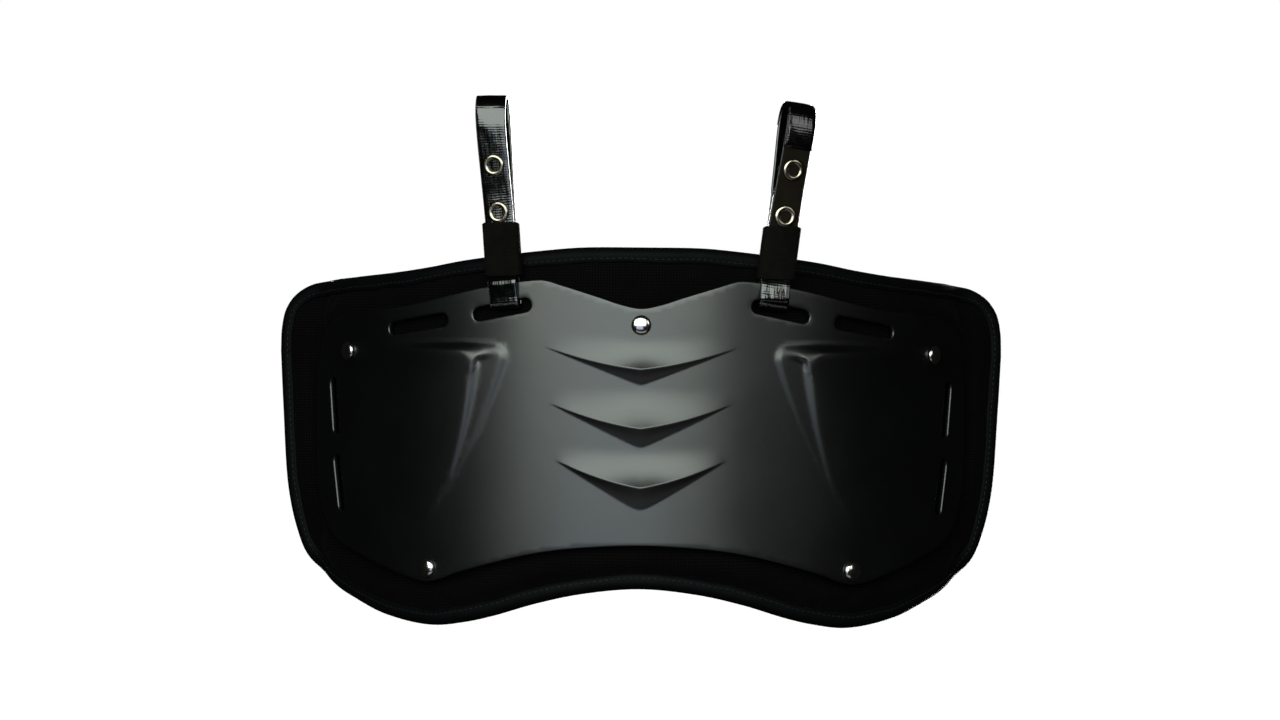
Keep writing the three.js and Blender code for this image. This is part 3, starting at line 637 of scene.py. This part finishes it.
def softRelief(along, up):
    taps = [(0, 0), (0.45, 0), (-0.45, 0), (0, 0.45), (0, -0.45),
            (0.3, 0.3), (-0.3, 0.3), (0.3, -0.3), (-0.3, -0.3)]
    return sum(reliefAt(along + x, up + y) for x, y in taps) / len(taps)


slots = [
    {"across": 79.5, "drop": 1.2, "length": 35.5, "height": 7.5, "slope": 10.5},
    {"across": 135, "drop": 9.4, "length": 43, "height": 7.5, "slope": 7.8},
    {"across": 208.5, "drop": 56, "length": 33, "height": 7.5, "slope": -81.5},
    {"across": 202.5, "drop": 100, "length": 33, "height": 7.5, "slope": -77},
]
rivetPlaces = [(0, 9.3), (-193, 24.5), (193, 24.5), (-126.5, 145.7), (126.5, 145.7)]


def slotLoop(slot, side):
    radius = slot["height"] / 2
    straight = slot["length"] / 2 - radius
    turn = np.linspace(-math.pi / 2, math.pi / 2, 13)
    right = np.column_stack([straight + radius * np.cos(turn), radius * np.sin(turn)])
    loop = evenly(np.vstack([right, -right]), 1.1)
    slope = -side * math.radians(slot["slope"])
    spun = loop @ np.array([[math.cos(slope), math.sin(slope)], [-math.sin(slope), math.cos(slope)]])
    return spun + (side * slot["across"], -slot["drop"])


def roundLoop(along, drop, radius):
    turn = np.linspace(0, 2 * math.pi, 20, endpoint=False)
    return np.column_stack([along + radius * np.cos(turn), radius * np.sin(turn) - drop])


def buildShell():
    outline = plateOutline(shell, shell["edgeSpacing"])
    loops = [outline] + [slotLoop(slot, side) for side in (-1, 1) for slot in slots]
    loops += [roundLoop(along, drop, shell["holeRadius"]) for along, drop in rivetPlaces]
    coarse = honeycomb(outline, shell["spacing"])
    fine = honeycomb(outline, shell["fineSpacing"])

    def bends(points):
        along, up = points.T
        around = sum(softRelief(along + x, up + y) for x, y in ((1, 0), (-1, 0), (0, 1), (0, -1)))
        return np.abs(around - 4 * softRelief(along, up)) > shell["bending"]

    # rows of points along each ridge and foot keep those edges crisp
    lines = []
    for index, row in enumerate(chevrons["rows"]):
        half = math.floor(chevrons["halfWidth"] * row["width"] / shell["lineSpacing"])
        along = np.arange(-half, half + 1) * shell["lineSpacing"]
        lines += [np.column_stack([along, line]) for line in chevronLines(index, along)[:2]]
    bands = np.vstack([line + (0, step) for line in lines for step in shell["lineSteps"]])
    bands = np.unique(np.round(bands, 2), axis=0)
    grid = np.vstack([coarse[~bends(coarse)], fine[bends(fine)]])
    inner = np.vstack([grid[nearest(grid, np.vstack(lines)) > shell["lineClear"]], bands])
    keep = inside(inner, outline) & (nearest(inner, outline) > shell["edgeClear"])
    for loop in loops[1:]:
        keep &= ~inside(inner, loop) & (nearest(inner, loop) > shell["holeClear"])
    flatBack = lambda along, up: np.full(len(along), -float(shell["wall"]))
    mesh, _ = wallMesh("shellPlate", loops, inner[keep], shellPlace, softRelief, flatBack, shell["lip"])
    addPiece("shellPlate", mesh, [plastic], ["shell"])


# Pad: foam under a knitted cover, swollen by a cloth simulation
def buildPad():
    outline = plateOutline(pad, pad["spacing"])
    seam = pad["tapeInset"]
    loop = evenly(inset(outline, seam), pad["spacing"])
    fine = evenly(outline, 1.5)
    inner = honeycomb(loop, pad["spacing"])
    inner = inner[inside(inner, loop)]
    inner = inner[nearest(inner, loop) > 0.6 * pad["spacing"] + pad["lip"]]

    def fullness(along, up):
        far = nearest(np.column_stack([along, up]), fine)
        return smoothStep((far - seam) / pad["roundInset"])

    edgeBack = -pad["edgeSetback"] - pad["edgeThickness"]
    front = lambda along, up: -pad["edgeSetback"] * (1 - fullness(along, up)) - 0.2
    back = lambda along, up: edgeBack + (0.4 + edgeBack + pad["thickness"]) * -fullness(along, up) + 0.4
    mesh, parameters = wallMesh("padBody", [loop], inner, padPlace, front, back, pad["lip"])
    rest = padPlace(*parameters.T)
    flat, out = parameters[:, :2], parameters[:, 2]
    far = nearest(flat, fine)
    toRivet = nearest(flat, np.array(rivetPlaces) * (1, -1))
    shellEdge = plateOutline(shell, shell["edgeSpacing"])
    beyond = np.where(inside(flat, shellEdge), 0, nearest(flat, shellEdge))
    facing = out > -0.5 * (pad["thickness"] + pad["edgeSetback"])
    limit = pad["swellUnderShell"] + pad["swell"] * smoothStep((beyond - 2) / 9)
    limit = np.where(facing, limit, pad["swellBehind"])
    limit = limit * smoothStep((far - 8) / 12) * smoothStep((toRivet - pad["riveted"]) / 9) + 0.05
    piece = addObject("padBody", mesh)
    pinned = piece.vertex_groups.new(name="sewn")
    held = (far < pad["sewn"]) | (toRivet < pad["riveted"])
    pinned.add(np.flatnonzero(held).tolist(), 1.0, "REPLACE")
    cloth = piece.modifiers.new("cloth", "CLOTH")
    for name, value in pad["cloth"].items():
        setattr(cloth.settings, name, value)
    cloth.settings.use_pressure = True
    cloth.settings.uniform_pressure_force = pad["pressure"]
    cloth.settings.effector_weights.gravity = 0
    cloth.settings.vertex_group_mass = "sewn"
    cloth.point_cache.frame_start = 1
    cloth.point_cache.frame_end = pad["frames"]
    for step in range(1, pad["frames"] + 1):
        bpy.context.scene.frame_set(step)
    shown = piece.evaluated_get(bpy.context.evaluated_depsgraph_get())
    puffed = np.zeros(len(mesh.vertices) * 3)
    shown.data.vertices.foreach_get("co", puffed)
    moved = puffed.reshape(-1, 3) - rest
    piece.modifiers.remove(cloth)
    piece.vertex_groups.clear()
    bpy.context.scene.frame_set(1)
    reach = np.maximum(np.linalg.norm(moved, axis=1), 1e-9)
    rest = rest + moved * np.minimum(1, limit * mm / reach)[:, None]
    # the cover gathers into small puckers beside the sewn tape
    outwards = padPlace(flat[:, 0], flat[:, 1], out + 1) - padPlace(flat[:, 0], flat[:, 1], out)
    gather = np.exp(-np.abs(far - pad["puckerAt"]) / pad["puckerReach"]) * (far > 7)
    puckers = pad["pucker"] * gather * noiseField(flat, pad["puckerScale"], 3.7) * 2
    folds = pad["fold"] * noiseField(flat, pad["foldScale"], 9.1)
    folds = folds * smoothStep((far - 8) / 10) * np.minimum(limit, 2) / 2
    rest = rest + outwards * (np.where(facing, 1, -1) * (puckers + folds))[:, None]
    mesh.vertices.foreach_set("co", rest.ravel())
    mesh.update()
    finer = piece.modifiers.new("smooth", "SUBSURF")
    finer.levels = finer.render_levels = 1
    shown = piece.evaluated_get(bpy.context.evaluated_depsgraph_get())
    smooth = bpy.data.meshes.new_from_object(shown)
    bpy.data.objects.remove(piece)
    smooth.name = "padBody"
    piece = addPiece("padBody", smooth, [cover], ["pad"])


# Binding: a folded tape, rolled over the pad's edge, its hems sewn down in front and behind
binding = {
    "spacing": 1.7,
    "section": [(8.6, -1.95), (8.55, -1.15), (7.4, -0.75), (6.2, -0.5), (4.6, -0.3), (3.0, -0.6), (1.2, -1.9),
                (0.1, -4.1), (0.1, -6.9), (1.2, -9.2), (3.0, -10.6), (4.6, -11.1), (6.2, -11.2), (7.4, -11.2),
                (8.55, -11.1), (8.6, -10.2), (6.6, -9.9), (2.6, -8.7), (1.5, -5.6), (2.6, -3.2), (6.6, -2.2)],
    "waver": 0.45,       # of the hem, in and out
    "puff": 0.3,
    "stitchInset": 6.3,
    "stitchPitch": 3.4,
    "stitchLength": 2.5,
    "threadRadius": 0.3,
}


def waver(loop, size, seed):
    turn = np.linspace(0, 2 * math.pi, len(loop), endpoint=False)
    radius = len(loop) * binding["spacing"] / size / (2 * math.pi)
    return noiseField(np.column_stack([np.cos(turn), np.sin(turn)]), radius, seed)


def buildBinding():
    loop = plateOutline(pad, binding["spacing"])
    count = len(loop)
    section = evenly(smoothCurve(binding["section"], 6, closed=True), 1.05)
    hem = binding["waver"] * waver(loop, 16, 1.5) * 2
    puff = binding["puff"] * (waver(loop, 9, 4.2) + 0.7 * waver(loop, 28, 6.4))
    points = []
    for inward, out in section:
        share = smoothStep((inward - 5) / 4)
        full = math.exp(-((inward - 4.6) / 2.6) ** 2)
        side = 1 if out > -5.5 else -1
        ring = inset(loop, inward + hem * share)
        points.append(padPlace(ring[:, 0], ring[:, 1], out + side * puff * full))
    mesh = meshFrom("edgeTape", np.vstack(points), ringFaces(ringsOf(len(section), count)))
    length = np.arange(count) * binding["spacing"]
    rows = [np.column_stack([length, np.full(count, at)]) for at in lengthAlong(section)]
    addMap(mesh, "tape", np.vstack(rows) * mm)
    addPiece("edgeTape", mesh, [tape], ["binding"])


# Node trees for what repeats
def startTree(name, sockets):
    tree = bpy.data.node_groups.new(name, "GeometryNodeTree")
    for label, kind in sockets.items():
        tree.interface.new_socket(label, in_out="INPUT", socket_type="NodeSocket" + kind)
    tree.interface.new_socket("Made", in_out="OUTPUT", socket_type="NodeSocketGeometry")
    return tree, addNode(tree, "NodeGroupInput").outputs


def endTree(tree, made, material):
    whole = addNode(tree, "GeometryNodeRealizeInstances", {"Geometry": made})
    dressed = addNode(tree, "GeometryNodeSetMaterial", {"Geometry": whole, "Material": material})
    addNode(tree, "NodeGroupOutput", {"Made": dressed})
    return tree


def stitchTree():
    tree, given = startTree("stitchRow", {"Path": "Geometry", "Pitch": "Float", "Length": "Float",
                                          "Thread Radius": "Float", "Seed": "Int", "Thread": "Material"})
    line = addNode(tree, "GeometryNodeMeshToCurve", {"Mesh": given["Path"]})
    spots = addNode(tree, "GeometryNodeCurveToPoints", {"Curve": line, "Length": given["Pitch"]}, mode="LENGTH")
    bead = addNode(tree, "GeometryNodeMeshUVSphere", {"Segments": 6, "Rings": 5, "Radius": 1.0})
    half = addNode(tree, "ShaderNodeMath", {0: given["Length"], 1: 0.5}, operation="MULTIPLY")
    thick = given["Thread Radius"]
    scale = addNode(tree, "ShaderNodeCombineXYZ", {"X": thick, "Y": thick, "Z": half})
    vary = addNode(tree, "FunctionNodeRandomValue", {
        0: (0.9, 0.9, 0.88), 1: (1.1, 1.1, 1.06), "Seed": given["Seed"]}, data_type="FLOAT_VECTOR")
    sized = addNode(tree, "ShaderNodeVectorMath", {0: scale, 1: vary}, operation="MULTIPLY")
    row = addNode(tree, "GeometryNodeInstanceOnPoints", {
        "Points": spots, "Instance": bead, "Rotation": spots.outputs["Rotation"], "Scale": sized})
    return endTree(tree, row, given["Thread"])


def fastenerTree():
    tree, given = startTree("fastenersOnPlate", {
        "Places": "Geometry", "Fastener": "Object", "Size": "Float", "Metal": "Material"})
    facing = addNode(tree, "GeometryNodeInputNamedAttribute", {"Name": "facing"}, data_type="FLOAT_VECTOR")
    turn = addNode(tree, "FunctionNodeAlignRotationToVector", {"Vector": facing}, axis="Z")
    one = addNode(tree, "GeometryNodeObjectInfo", {"Object": given["Fastener"]}, transform_space="ORIGINAL")
    shape = one.outputs["Geometry"]
    row = addNode(tree, "GeometryNodeInstanceOnPoints", {
        "Points": given["Places"], "Instance": shape, "Rotation": turn, "Scale": given["Size"]})
    return endTree(tree, row, given["Metal"])


def ribTree():
    tree, given = startTree("ribbedSleeve", {"Round": "Geometry", "Rib Count": "Int", "Rib Step": "Vector",
                                             "Rib Radius": "Float", "Webbing": "Material"})
    line = addNode(tree, "GeometryNodeMeshToCurve", {"Mesh": given["Round"]})
    rows = addNode(tree, "GeometryNodeMeshLine", {"Count": given["Rib Count"], "Offset": given["Rib Step"]})
    laid = addNode(tree, "GeometryNodeInstanceOnPoints", {"Points": rows, "Instance": line})
    loose = addNode(tree, "GeometryNodeRealizeInstances", {"Geometry": laid})
    cord = addNode(tree, "GeometryNodeCurvePrimitiveCircle", {"Resolution": 6, "Radius": given["Rib Radius"]})
    ribs = addNode(tree, "GeometryNodeCurveToMesh", {"Curve": loose, "Profile Curve": cord})
    return endTree(tree, ribs, given["Webbing"])


def runTree(name, source, tree, values):
    modifier = source.modifiers.new(name, "NODES")
    modifier.node_group = tree
    for item in tree.interface.items_tree:
        if item.item_type == "SOCKET" and item.in_out == "INPUT" and item.name in values:
            modifier[item.identifier] = values[item.name]
    shown = source.evaluated_get(bpy.context.evaluated_depsgraph_get())
    mesh = bpy.data.meshes.new_from_object(shown)
    mesh.name = name
    bpy.data.objects.remove(source)
    shadeSmooth(mesh)
    return mesh


def pathObject(name, loops):
    edges = []
    for loop in loops:
        start = len(edges)
        edges += [(start + i, start + (i + 1) % len(loop)) for i in range(len(loop))]
    return addObject(name, meshFrom(name, np.vstack(loops), edges=edges))


def buildStitches(tree):
    loop = plateOutline(pad, binding["spacing"])
    ring = inset(loop, binding["stitchInset"] + binding["waver"] * waver(loop, 16, 1.5) * 1.2)
    paths = [padPlace(ring[:, 0], ring[:, 1], np.full(len(ring), out)) for out in (-0.46, -11.25)]
    values = {"Pitch": binding["stitchPitch"] * mm, "Length": binding["stitchLength"] * mm,
              "Thread Radius": binding["threadRadius"] * mm, "Seed": 7, "Thread": thread}
    mesh = runTree("tapeStitches", pathObject("stitchPath", paths), tree, values)
    addPiece("tapeStitches", mesh, [thread])


# Turned shapes for rivets and eyelets
def turnedObject(name, profile, sides):
    turn = np.linspace(0, 2 * math.pi, sides, endpoint=False)
    points = []
    rings = []
    for radius, height in profile:
        pole = radius < 1e-6
        rings.append(np.full(sides, len(points)) if pole else len(points) + np.arange(sides))
        spots = turn[:1 if pole else sides]
        points += [(radius * math.cos(t), radius * math.sin(t), height) for t in spots]
    faces = [list(dict.fromkeys(face)) for face in ringFaces(rings)]
    mesh = meshFrom(name, np.array(points) * mm, faces)
    solid = bmesh.new()
    solid.from_mesh(mesh)
    bmesh.ops.remove_doubles(solid, verts=solid.verts, dist=1e-7)
    bmesh.ops.recalc_face_normals(solid, faces=solid.faces)
    solid.to_mesh(mesh)
    solid.free()
    return addObject(name, mesh)


rivetSizes = {"headRadius": 5.5, "headHeight": 2.75, "lift": 0.3, "shankRadius": 2.4, "flangeRadius": 7,
              "flangeThickness": 1.2, "flangeDepth": 19.55, "sides": 44}
eyeletSizes = {"radius": 6.2, "holeRadius": 3.1, "barrelRadius": 4, "face": 1.05, "flange": 1.15,
               "washer": 0.5, "sides": 40, "pitch": 26}


def rivetProfile():
    head, lift = rivetSizes["headRadius"], rivetSizes["lift"]
    dome = [(head * math.sin(t), lift + 0.55 + (rivetSizes["headHeight"] - 0.55) * math.cos(t))
            for t in np.linspace(0, math.pi / 2, 14)]
    rim = [(head - 0.06, lift + 0.2), (head - 0.25, lift), (rivetSizes["shankRadius"], lift)]
    depth, flange = -rivetSizes["flangeDepth"], rivetSizes["flangeRadius"]
    end = depth - rivetSizes["flangeThickness"]
    behind = [(rivetSizes["shankRadius"], depth), (flange - 0.25, depth), (flange, depth - 0.25),
              (flange, end + 0.4), (flange - 0.5, end), (2.2, end), (1.7, end + 0.35), (0, end + 0.5)]
    return dome + rim + behind


def eyeletProfile():
    hole, rim, face = eyeletSizes["holeRadius"], eyeletSizes["radius"], eyeletSizes["face"]
    middle, half = (hole + rim) / 2, (rim - hole) / 2
    rolled = [(middle - half * math.cos(t), face + 0.1 + eyeletSizes["flange"] * math.sin(t) ** 0.85)
              for t in np.linspace(0, math.pi, 15)]
    barrel = eyeletSizes["barrelRadius"]
    under = [(rim - 0.1, face), (barrel, face), (barrel, -face), (rim - 0.1, -face), (rim, -face - 0.2),
             (rim - 0.15, -face - eyeletSizes["washer"]), (hole + 0.15, -face - eyeletSizes["washer"]),
             (hole, -face - 0.25), (hole, face + 0.1)]
    return rolled + under


def placeObject(name, places, facings):
    mesh = meshFrom(name, places)
    layer = mesh.attributes.new("facing", "FLOAT_VECTOR", "POINT")
    layer.data.foreach_set("vector", np.asarray(facings, float).ravel())
    return addObject(name, mesh)


def buildFasteners(name, tree, template, places, facings, metal, nodes):
    values = {"Fastener": template, "Size": 1.0, "Metal": metal}
    mesh = runTree(name, placeObject(name + "Places", places, facings), tree, values)
    bpy.data.objects.remove(template)
    mesh.set_sharp_from_angle(angle=math.radians(40))
    addPiece(name, mesh, [metal], nodes)


def buildRivets(tree):
    along, drop = np.array(rivetPlaces, float).T
    places = shellPlace(along, -drop, 0)
    facings = shellPlace(along, -drop, 1 / mm) - places
    nodes = ["rivet_" + end for end in ("centre", "upper_left", "upper_right", "lower_left", "lower_right")]
    template = turnedObject("rivet", rivetProfile(), rivetSizes["sides"])
    buildFasteners("rivets", tree, template, places, facings, rivetMetal, nodes)


# Straps: a strip of vinyl looped through its slot and back on itself
strapSizes = {
    "width": 17,
    "thickness": 1.5,
    "runGap": 1.6,
    "bridgeHeight": 14.2,
    "bendRise": 3.2,
    "keeperHeight": 30,
    "keeperWall": 1.2,
    "keeperEase": 0.9,
    "slotAcross": 79.5,
    "slotDrop": 1.2,
    "slotSlope": 10.5,
    "lapLength": 25,
    "lapThickness": 1.4,
    "clothHidden": 6,    # of the cloth side, inside the keeper and under the lap
    "facePoints": 11,    # across the strip's face
    "dent": 0.16,
    "dentScale": (0.16, 0.09),  # across and along
    "levelStart": 60,
    "levelReach": 45,
}
# twist turns the face towards +X, in degrees by height; belly is how far the front run stands out by height
straps = [
    {"name": "Left", "side": -1, "lean": 4.6, "shift": 2.508, "rise": 118.5, "eyelet": 53.6, "depth": 9.5,
     "lap": False, "frontLean": 3.4, "level": 1, "twist": [(3, 0), (48, 2), (90, 5.5), (104, 8), (115, 11)],
     "belly": [(0.2, 6), (0.8, 10.5), (1.3, 14.5)]},
    {"name": "Right", "side": 1, "lean": 7.8, "shift": 5.7, "rise": 114.35, "eyelet": 52.2, "depth": 12.5,
     "lap": True, "frontLean": 0.8, "level": 0,
     "twist": [(2, 0), (7, -9), (16, -12), (46, -7), (80, 0), (112, 2)],
     "belly": [(1.7, 5.2), (1.1, 9.5), (0.3, 13.5)]},
]
# Shares of a loop's height and of its fullness there, up its front
loopRows = [(0, 0), (0.15, 0.11), (0.35, 0.36), (0.55, 0.66), (0.7, 0.89), (0.79, 0.99), (0.87, 0.95),
            (0.935, 0.74), (0.975, 0.42)]


def strapMatrix(strap):
    climb = strap["shift"] * math.tan(math.radians(strapSizes["slotSlope"]))
    along = strap["side"] * (strapSizes["slotAcross"] - strap["shift"])
    angle = along / shell["radius"]
    place = shellPlace(np.array([along]), np.array([climb - strapSizes["slotDrop"]]), np.array([0.0]))[0]
    cosine, sine = math.cos(angle), math.sin(angle)
    basis = Matrix(((cosine, 0, sine), (sine, 0, -cosine), (0, 1, 0))).to_4x4()
    lean = Matrix.Rotation(-strap["side"] * math.radians(strap["lean"]), 4, "Z")
    return Matrix.Translation(Vector(place)) @ basis @ lean


def strapPlace(strap, points):
    across, up, out = np.asarray(points, float).T
    turn = np.radians(np.interp(up, *zip(*strap["twist"])))
    middle = shell["wall"] / 2
    level = strap["level"] * math.tan(math.radians(strap["lean"]))
    level = level * smoothStep((up - strapSizes["levelStart"]) / strapSizes["levelReach"])
    twisted = np.column_stack([across * np.cos(turn) + (out + middle) * np.sin(turn), up - across * level,
                               (out + middle) * np.cos(turn) - across * np.sin(turn) - middle])
    matrix = np.array(strapMatrix(strap))
    return twisted * mm @ matrix[:3, :3].T + matrix[:3, 3]


def keeperFoot(strap):
    return strap["eyelet"] - eyeletSizes["radius"] + 0.7 - strapSizes["keeperHeight"]


def strapCourse(strap):
    thickness = strapSizes["thickness"]
    run = (strapSizes["runGap"] + thickness) / 2
    bridge = shell["wall"] / 2 + strapSizes["width"] ** 2 / (8 * shell["radius"]) + 0.3 + thickness / 2
    foot = keeperFoot(strap)
    loopStart = foot + strapSizes["keeperHeight"] - thickness
    height = strap["rise"] - thickness / 2 - loopStart
    half = (strap["depth"] - thickness) / 2
    front = [(bridge, strapSizes["bendRise"])] + [(bridge + out, up) for out, up in strap["belly"]]
    front += [(run, foot + 1.4), (run, foot + 9), (run, foot + 20), (run, loopStart - 3)]
    lean = strap["frontLean"]
    front += [(run + (half + lean - run) * opened, loopStart + rise * height) for rise, opened in loopRows]
    bend = [(bridge * math.cos(t), strapSizes["bendRise"] + bridge * math.sin(t))
            for t in np.linspace(math.pi, 2 * math.pi, 7)[1:-1]]
    behind = [(bridge, strapSizes["bendRise"]), (bridge + 0.3, 8), (bridge, strapSizes["bridgeHeight"])]
    back = [(-run - (x - run) * (half - run) / (half + lean - run), y) for x, y in front[:3:-1]]
    back += [(-x, y) for x, y in behind[::-1]]
    knots = front + [(lean / 2, loopStart + height)] + back + bend
    return evenly(smoothCurve(knots, 16, closed=True), 1.0)


def stripSection(width, thickness, crown):
    half, radius = width / 2, thickness / 2
    across = np.linspace(-half + radius, half - radius, strapSizes["facePoints"])
    bow = crown * (1 - (across / half) ** 2)
    turn = np.linspace(0, math.pi, 6)[1:-1]
    right = np.column_stack([half - radius + radius * np.sin(turn), radius * np.cos(turn)])
    top = np.column_stack([across, bow + radius])
    bottom = np.column_stack([across, bow - radius])[::-1]
    return np.vstack([top, right, bottom, -right])


def stripMesh(name, strap, course, section, closed, seed, cloth=None):
    count, ring = len(course), len(section)
    ahead = np.roll(course, -1, 0) - np.roll(course, 1, 0) if closed else np.gradient(course, axis=0)
    ahead /= np.linalg.norm(ahead, axis=1)[:, None]
    normal = np.column_stack([ahead[:, 1], -ahead[:, 0]])
    length, around = lengthAlong(course), lengthAlong(section)
    wide, long = strapSizes["dentScale"]
    points = []
    places = []
    for index, (point, out) in enumerate(zip(course, normal)):
        ease = 1.0 if closed else min(1, 0.25 + min(index, count - 1 - index) / 2)
        for (across, height), at in zip(section, around):
            dent = noise.noise(Vector((across * wide, length[index] * long, seed)))
            spot = point + out * (height * ease + strapSizes["dent"] * dent)
            points.append((across, spot[1], spot[0] - shell["wall"] / 2))
            places.append((length[index], at))
    faces = ringFaces(ringsOf(count, ring, closed))
    if not closed:
        faces += [tuple(range(ring))[::-1], tuple((count - 1) * ring + i for i in range(ring))]
    mesh = meshFrom(name, strapPlace(strap, points), faces)
    addMap(mesh, "strip", np.array(places) * mm)
    if cloth:
        outer = np.arange(ring) < strapSizes["facePoints"] - 1
        shows = (course[:, 0] > 0) & (course[:, 1] > cloth[0]) & (course[:, 1] < cloth[1])
        mesh.polygons.foreach_set("material_index", np.outer(shows, outer).astype(int).ravel())
    return mesh


def joinMeshes(name, meshes):
    whole = bmesh.new()
    for mesh in meshes:
        whole.from_mesh(mesh)
    joined = bpy.data.meshes.new(name)
    bmesh.ops.recalc_face_normals(whole, faces=whole.faces)
    whole.to_mesh(joined)
    whole.free()
    shadeSmooth(joined)
    return joined


def buildStraps():
    for strap in straps:
        course = strapCourse(strap)
        section = stripSection(strapSizes["width"], strapSizes["thickness"], 0.12)
        name = "strap" + strap["name"]
        # between its keeper and its lap the right strap shows its cloth side in front
        hidden = strapSizes["clothHidden"]
        cloth = (keeperFoot(strap) + strapSizes["keeperHeight"] - hidden, strap["rise"] - hidden)
        cloth = cloth if strap["lap"] else None
        meshes = [stripMesh(name, strap, course, section, True, 2.0 + strap["side"], cloth)]
        if strap["lap"]:
            reach = strapSizes["lapLength"]
            top = int(np.argmax(course[:, 1]))
            turned = np.roll(course, len(course) // 2 - top, 0)
            on = (turned[:, 1] > strap["rise"] - reach) & (turned[:, 0] > 0)
            on |= (turned[:, 1] > strap["rise"] - 0.5 * reach) & (turned[:, 0] <= 0)
            outer = inset(turned, (strapSizes["thickness"] + strapSizes["lapThickness"]) / 2 + 0.05)[on]
            thin = stripSection(strapSizes["width"] - 0.2, strapSizes["lapThickness"], 0.25)
            meshes.append(stripMesh(name, strap, outer, thin, False, 5.0))
        mesh = joinMeshes(name, meshes)
        addPiece(name, mesh, [vinyl, backing], ["strap_" + strap["name"].lower()])


def buildEyelets(tree):
    places = []
    facings = []
    nodes = []
    for strap in straps:
        course = strapCourse(strap)
        front = course[course[:, 0] > 0]
        front = front[np.argsort(front[:, 1])]
        for level, rise in (("lower", strap["eyelet"]), ("upper", strap["eyelet"] + eyeletSizes["pitch"])):
            offset = np.interp(rise, front[:, 1], front[:, 0])
            tilt = math.atan2(np.interp(rise + 3, front[:, 1], front[:, 0]) - offset, 3)
            for layer, run in (("front", 1), ("back", -1)):
                spot = np.array([0, rise, run * offset - shell["wall"] / 2])
                away = np.array([0, -math.sin(tilt), run * math.cos(tilt)])
                ends = strapPlace(strap, [spot, spot + away * 10])
                places.append(ends[0])
                facings.append((ends[1] - ends[0]) * 100)
                nodes.append(f"eyelet_{strap['name'].lower()}_{level}_{layer}")
    template = turnedObject("eyelet", eyeletProfile(), eyeletSizes["sides"])
    buildFasteners("eyelets", tree, template, places, facings, eyeletMetal, nodes)


# Keepers: a woven elastic sleeve, ribbed round its length, with hemmed ends
keeper = {"ribPitch": 0.95, "ribRadius": 0.34, "ribInset": 1.2, "corner": 2.2, "bulge": 0.35, "tuck": 1.5,
          "level": 0.85}


def keeperLoop(grow, narrow=0):
    depth = strapSizes["runGap"] + 2 * (strapSizes["thickness"] + 0.3) + 2 * grow
    width = strapSizes["width"] + 2 * strapSizes["keeperEase"] + 2 * grow - 2 * narrow
    radius = min(keeper["corner"], depth / 2 - 0.05)
    quarter = np.radians(np.linspace(0, 90, 7))
    corners = []
    for turn, (right, up) in enumerate(((1, 1), (-1, 1), (-1, -1), (1, -1))):
        swing = quarter + turn * math.pi / 2
        corners.append(np.column_stack([right * (width / 2 - radius) + radius * np.cos(swing),
                                        up * (depth / 2 - radius) + radius * np.sin(swing)]))
    loop = evenly(np.vstack(corners), 1.0)
    loop[:, 1] += keeper["bulge"] * np.sign(loop[:, 1]) * (1 - (2 * loop[:, 0] / width) ** 2)
    return loop


def buildKeepers(tree):
    wall, height, middle = strapSizes["keeperWall"], strapSizes["keeperHeight"], shell["wall"] / 2
    # rows are how far out, how far in at the sides and how far from the end, over a tucked hem
    tuck = keeper["tuck"]
    ends = [(-wall, 0, 0.5), (-0.15, tuck, 0.05), (-0.05, tuck * 0.35, 0.45), (0, 0, 1.4)]
    count = len(keeperLoop(wall))
    for strap in straps:
        name = "keeper" + strap["name"]
        foot = keeperFoot(strap)
        slant = keeper["level"] * strap["side"] * math.tan(math.radians(strap["lean"]))

        def laid(loop, up):
            across, out = loop.T
            return strapPlace(strap, np.column_stack([across, up + slant * across, out - middle]))

        rings = [(grow, narrow, foot + up) for grow, narrow, up in ends]
        rings += [(grow, narrow, foot + height - up) for grow, narrow, up in ends[::-1]]
        points = []
        for grow, narrow, up in rings:
            loop = keeperLoop(wall - keeper["ribRadius"] * 0.7 + grow, narrow)
            points.append(laid(evenly(loop, 0, count=count), up))
        core = meshFrom(name, np.vstack(points), ringFaces(ringsOf(len(rings), count)))
        core.materials.append(elastic)
        rib = keeperLoop(wall - keeper["ribRadius"])
        low, high = strapPlace(strap, [(0, 0, 0), (0, keeper["ribPitch"], 0)])
        values = {"Rib Count": int((height - 2 * keeper["ribInset"]) / keeper["ribPitch"]) + 1,
                  "Rib Step": (high - low).tolist(), "Rib Radius": keeper["ribRadius"] * mm, "Webbing": elastic}
        path = pathObject(name + "Round", [laid(rib, foot + keeper["ribInset"])])
        mesh = joinMeshes(name, [core, runTree(name + "Ribs", path, tree, values)])
        addPiece(name, mesh, [elastic], ["keeper_" + strap["name"].lower()])


buildShell()
buildPad()
buildBinding()
buildStitches(stitchTree())
fasteners = fastenerTree()
buildRivets(fasteners)
buildStraps()
buildEyelets(fasteners)
buildKeepers(ribTree())

print("finished")
